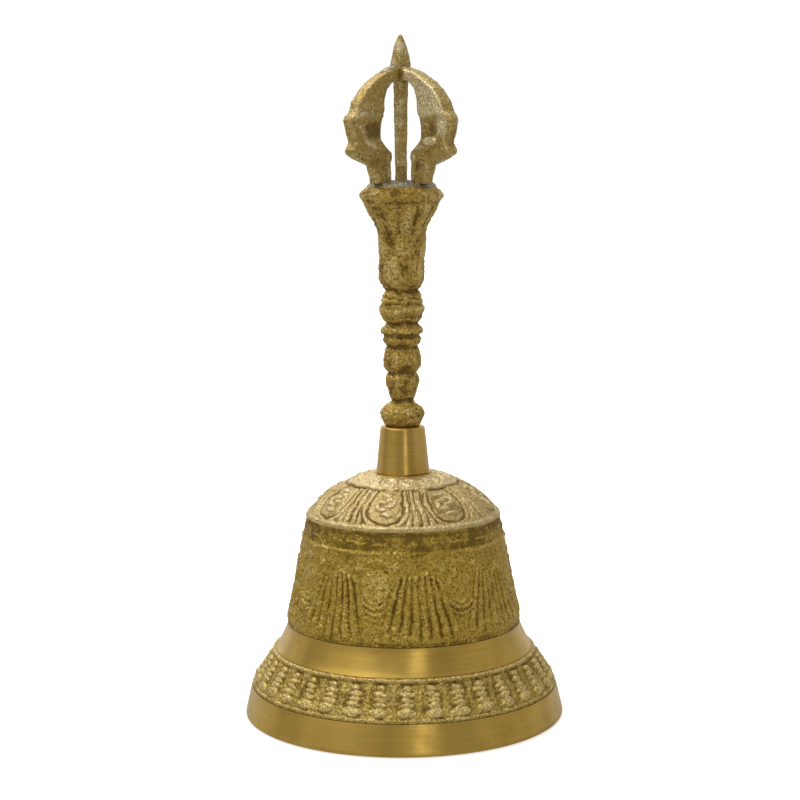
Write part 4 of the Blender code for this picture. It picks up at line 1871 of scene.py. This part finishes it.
def wire_mesh(
    name: str, path: list[tuple[float, float, float]], wire: float, sides: int,
    metal: bpy.types.Material,
) -> bpy.types.Mesh:
    """A closed ring of round wire, made by sweeping a circle along a path.

    Args:
        name: the mesh's name.
        path: points in millimetres; the last joins the first.
        wire: the wire's radius in millimetres.
        sides: points round the wire.
        metal: its material.

    Returns:
        A new mesh in metres.
    """
    kind = "Geometry"
    g, source, result, keys = open_tree(
        name + "_sweep", "GeometryNodeTree", {kind: kind, "Wire Radius": wire * MM}, {kind: kind}
    )
    curve = g.wired("GeometryNodeMeshToCurve", {0: source.outputs[kind]})
    circle = g.wired(
        "GeometryNodeCurvePrimitiveCircle",
        {"Resolution": sides, "Radius": source.outputs["Wire Radius"]},
    )
    sweep = g.wired(
        "GeometryNodeCurveToMesh", {"Curve": curve.outputs[0], "Profile Curve": circle.outputs[0]}
    )
    smooth = g.wired("GeometryNodeSetShadeSmooth", {0: sweep.outputs[0]})
    end_tree(g, result, smooth.outputs[0], metal)
    guide = bpy.data.meshes.new(name)
    ends = [(i, (i + 1) % len(path)) for i in range(len(path))]
    guide.from_pydata([tuple(c * MM for c in point) for point in path], ends, [])
    obj = show(name + "_guide", guide)
    modifier = obj.modifiers.new("sweep", "NODES")
    modifier.node_group = g.tree
    modifier[keys["Wire Radius"]] = wire * MM
    mesh = settle(obj).data
    bpy.data.objects.remove(obj)
    form = bmesh.new()
    form.from_mesh(mesh)
    bmesh.ops.recalc_face_normals(form, faces=form.faces)
    form.to_mesh(mesh)
    form.free()
    return mesh


def join_solid(obj: bpy.types.Object, other: bpy.types.Object) -> None:
    """Unite two closed meshes into the first and remove the second.

    Args:
        obj: the object that is kept.
        other: the object that goes into it.
    """
    union = obj.modifiers.new("join", "BOOLEAN")
    union.operation, union.solver, union.object = "UNION", "EXACT", other
    settle(obj)
    bpy.data.objects.remove(other)


@dataclass
class Clapper:
    """The iron rod with its eye and peened head, and the turned bob."""

    eye_z: float = 37.2
    eye_radius: float = 2.6
    eye_wire: float = 0.9
    bob: list[Point] = field(default_factory=lambda: [
        (1.4, 16.4), (2.0, 16.4), (2.5, 16.0), (2.9, 14.6), (4.2, 13.6), (5.8, 11.4),
        (6.4, 9.0), (5.9, 6.8), (4.4, 4.8), (2.9, 3.6), (2.4, 3.2), (1.4, 3.2),
    ])

    def build(self, finishes: Finishes) -> None:
        """Build the clapper.

        Args:
            finishes: the bell's finishes.
        """
        run = join_runs(
            [
                [(0.0, 34.6), (1.1, 34.6)], [(1.1, 34.6), (1.15, 30.0), (1.1, 19.4)],
                [(1.1, 19.4), (1.5, 18.7), (2.0, 18.2), (2.0, 16.9), (1.8, 16.45)],
                [(1.8, 16.45), (1.1, 16.45)], [(1.1, 16.45), (1.1, 3.1)], [(1.1, 3.1), (2.0, 3.1)],
                [(2.0, 3.1), (2.0, 2.6), (1.6, 2.1), (0.6, 1.9), (0.0, 1.9)],
            ],
            0.4,
        )
        rod = show("iron_rod", Turning(run, 40, closed=False).mesh("iron_rod", 40.0), finishes.iron)
        ring = eye_path(self.eye_z, self.eye_radius, 56)
        mesh = wire_mesh("rod_eye", ring, self.eye_wire, 18, finishes.iron)
        eye = show("rod_eye", mesh, finishes.iron)
        join_solid(rod, eye)
        finish_piece(rod, Body.CLAPPER, Slot.IRON, "clapper_rod")
        face = join_runs([self.bob[:2], self.bob[1:-1], self.bob[-2:]], 0.3)
        profile = np.vstack([face, smooth_run([(1.4, 3.2), (1.4, 16.4)], 1.5)[1:-1]])
        mesh = Turning(profile, 96, closed=True).mesh("turned_bob", 40.0)
        bob = show("turned_bob", mesh, finishes.collar)
        finish_piece(bob, Body.CLAPPER, Slot.TURNED, "clapper_bob")


# --------------------------------------------------------------------------- the studio
@dataclass(frozen=True)
class Panel:
    """An upright soft panel that faces the bell.

    Attributes:
        name: the lamp's name.
        azimuth: direction in degrees from the camera's side, positive to the right.
        spread: width in degrees, seen from the bell.
        reach: distance in metres.
        glow: its radiance, where 1 is a white card in full light.
        tint: colour of the light.
        foot, head: heights in metres of its lower and upper edge.
    """

    name: str
    azimuth: float
    spread: float
    reach: float
    glow: float
    tint: Colour = (1.0, 0.985, 0.955)
    foot: float = 0.0
    head: float = 1.25

    def build(self) -> None:
        """Put up the panel."""
        width = 2.0 * self.reach * math.tan(math.radians(self.spread / 2))
        turn = math.radians(self.azimuth)
        way = Vector((math.sin(turn), -math.cos(turn), 0.0))
        middle = (self.foot + self.head) / 2
        hang_lamp(
            self.name, way * self.reach + Vector((0.0, 0.0, middle)), way,
            (width, self.head - self.foot), self.glow, self.tint,
        )


def hang_lamp(
    name: str, place: Vector, back: Vector, size: Point, glow: float, tint: Colour
) -> None:
    """Hang a rectangular soft lamp.

    Args:
        name: the lamp's name.
        place: its centre in metres.
        back: direction that its back faces.
        size: width and height in metres.
        glow: radiance.
        tint: colour of the light.
    """
    data = bpy.data.lights.new(name, "AREA")
    data.shape, data.size, data.size_y = "RECTANGLE", size[0], size[1]
    data.energy, data.color = glow * math.pi * size[0] * size[1], tint
    lamp = bpy.data.objects.new(name, data)
    bpy.context.scene.collection.objects.link(lamp)
    lamp.location = place
    lamp.rotation_euler = back.to_track_quat("Z", "Y").to_euler()
    lamp.visible_camera = False


@dataclass
class Studio:
    """Pale floor, soft lights and the camera.

    Attributes:
        distance, height: the camera's place from the bell's axis and above the rim, in mm.
        tilt: how far it looks down, in radians.
        lens: focal length in millimetres.
        swing: how far it looks left of the axis, in radians.
        roll: how far it is turned about its own line of sight, in radians.
        room: radiance of the dim room that the bell reflects between the lamps.
        overhead: radiance of the lamp above.
        key: radiance of the small lamp at the front left, which models the relief.
        mouth: radiance of the lamp under the mouth, hidden from outside.
        backdrop: brightness of what the camera sees behind the bell.
        sensor: width of the camera's sensor in millimetres.
        floor_side, floor_drop: half the floor's side and how far it lies under the rim, in metres.
        panels: the upright lamps.
    """

    distance: float = 463.8
    height: float = 139.6
    tilt: float = 0.13
    lens: float = 84.67
    swing: float = 0.00133
    roll: float = -0.0061
    room: float = 0.355
    overhead: float = 1.7
    key: float = 1.0
    mouth: float = 0.8
    backdrop: float = 1.05
    sensor: float = 36.0
    floor_side: float = 4.0
    floor_drop: float = 0.0002
    panels: tuple[Panel, ...] = (
        Panel("left_window", -54.5, 44.0, 0.90, 0.21),
        Panel("front_strip", 13.0, 13.0, 1.00, 1.3, (1.0, 0.97, 0.93)),
        Panel("left_wall", -118.0, 22.0, 0.90, 0.34, head=0.45),
        Panel("right_window", 92.0, 76.0, 0.70, 0.19),
        Panel("back_left", -157.0, 46.0, 0.90, 0.60),
        Panel("back_right", 157.0, 46.0, 0.90, 0.40),
    )

    def build(self) -> None:
        """Set up floor, room, lights and camera."""
        self._floor()
        self._room()
        for panel in self.panels:
            panel.build()
        way = Vector((-0.24, 0.16, 1.0)).normalized()
        hang_lamp("overhead", way * 1.1, way, (1.3, 1.3), self.overhead, (1.0, 0.99, 0.97))
        way = Vector((-0.42, -0.30, 0.98)).normalized()
        hang_lamp("key", way * 0.85, way, (0.48, 0.48), self.key, (1.0, 0.98, 0.93))
        # a glow under the mouth, so that the clapper can be seen from below
        hang_lamp(
            "mouth_glow", Vector((0.0, 0.0, 0.0004)), Vector((0.0, 0.0, -1.0)),
            (0.052, 0.052), self.mouth, (1.0, 0.98, 0.95),
        )
        self._camera()

    def _floor(self) -> None:
        """A wide white floor that runs out into the background, seen through from below."""
        side = self.floor_side
        mesh = bpy.data.meshes.new("floor")
        mesh.from_pydata(
            [(-side, -side, 0.0), (side, -side, 0.0), (side, side, 0.0), (-side, side, 0.0)],
            [], [(0, 1, 2, 3)],
        )
        mesh.transform(Matrix.Translation((0.0, 0.0, -self.floor_drop)))
        material, g, shader = new_material("pale_floor")
        g.fill(shader, {"Base Color": (0.55, 0.54, 0.52, 1.0), "Roughness": 0.9})
        x, y, _ = g.split(object_place(g))
        reach = (x * x + y * y).root()
        white = reach.rise(0.03, 0.16) * 0.55 + 0.62
        under_rim = reach.between(0.0365, 0.0397, 0.0001) * 0.5
        shades = []
        for strength in (under_rim, white):
            glow = g.wired("ShaderNodeEmission", {"Strength": strength})
            added = {0: shader.outputs[0], 1: glow.outputs[0]}
            shades.append(g.wired("ShaderNodeAddShader", added).outputs[0])
        # the glow under the rim isn't worth its own light rays
        material.cycles.emission_sampling = "NONE"
        seen = g.node("ShaderNodeLightPath").outputs["Is Camera Ray"]
        above = g.wired("ShaderNodeMixShader", {0: seen, 1: shades[0], 2: shades[1]})
        clear = g.node("ShaderNodeBsdfTransparent").outputs[0]
        back = g.node("ShaderNodeNewGeometry").outputs["Backfacing"]
        both = g.wired("ShaderNodeMixShader", {0: back, 1: above.outputs[0], 2: clear})
        g.feed(material.node_tree.nodes["Material Output"].inputs["Surface"], both.outputs[0])
        show("floor", mesh, material)

    def _room(self) -> None:
        """White behind the bell for the camera, and a dim warm room in its reflections."""
        world = bpy.data.worlds.new("studio")
        world.use_nodes = True
        bpy.context.scene.world = world
        g = Graph(world.node_tree)
        world.node_tree.nodes.clear()
        room, white = (
            g.wired("ShaderNodeBackground", {"Color": colour, "Strength": strength}).outputs[0]
            for colour, strength in (
                ((1.0, 0.96, 0.90, 1.0), self.room), ((1.0, 1.0, 1.0, 1.0), self.backdrop)
            )
        )
        seen = g.node("ShaderNodeLightPath").outputs["Is Camera Ray"]
        mixed = g.wired("ShaderNodeMixShader", {0: seen, 1: room, 2: white})
        g.wired("ShaderNodeOutputWorld", {0: mixed.outputs[0]})

    def _camera(self) -> None:
        """The camera, a little above the bell and in front of it."""
        data = bpy.data.cameras.new("camera")
        data.sensor_width, data.lens = self.sensor, self.lens
        camera = bpy.data.objects.new("camera", data)
        bpy.context.scene.collection.objects.link(camera)
        camera.location = (0.0, -self.distance * MM, self.height * MM)
        aim = Matrix.Rotation(self.swing, 3, "Z") @ Matrix.Rotation(math.pi / 2 - self.tilt, 3, "X")
        camera.rotation_euler = (aim @ Matrix.Rotation(self.roll, 3, "Z")).to_euler()
        bpy.context.scene.camera = camera


def corners(box: tuple[Vector, Vector]) -> list[list[float]]:
    """Return a box's two corners as plain lists."""
    return [[round(float(value), 6) for value in corner] for corner in box]


def main() -> None:
    """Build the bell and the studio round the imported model."""
    logging.basicConfig(level=logging.INFO, format="%(name)s %(message)s")
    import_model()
    bpy.context.scene.view_settings.view_transform = "Standard"
    finishes = Finishes()
    for part in (BellCasting(), NeckCollar(), Handle(), VajraHead(), Suspension(), Clapper()):
        LOG.info("building %s", type(part).__name__)
        part.build(finishes)
    Studio().build()
    bpy.context.view_layer.update()


if __name__ == "__main__":
    main()
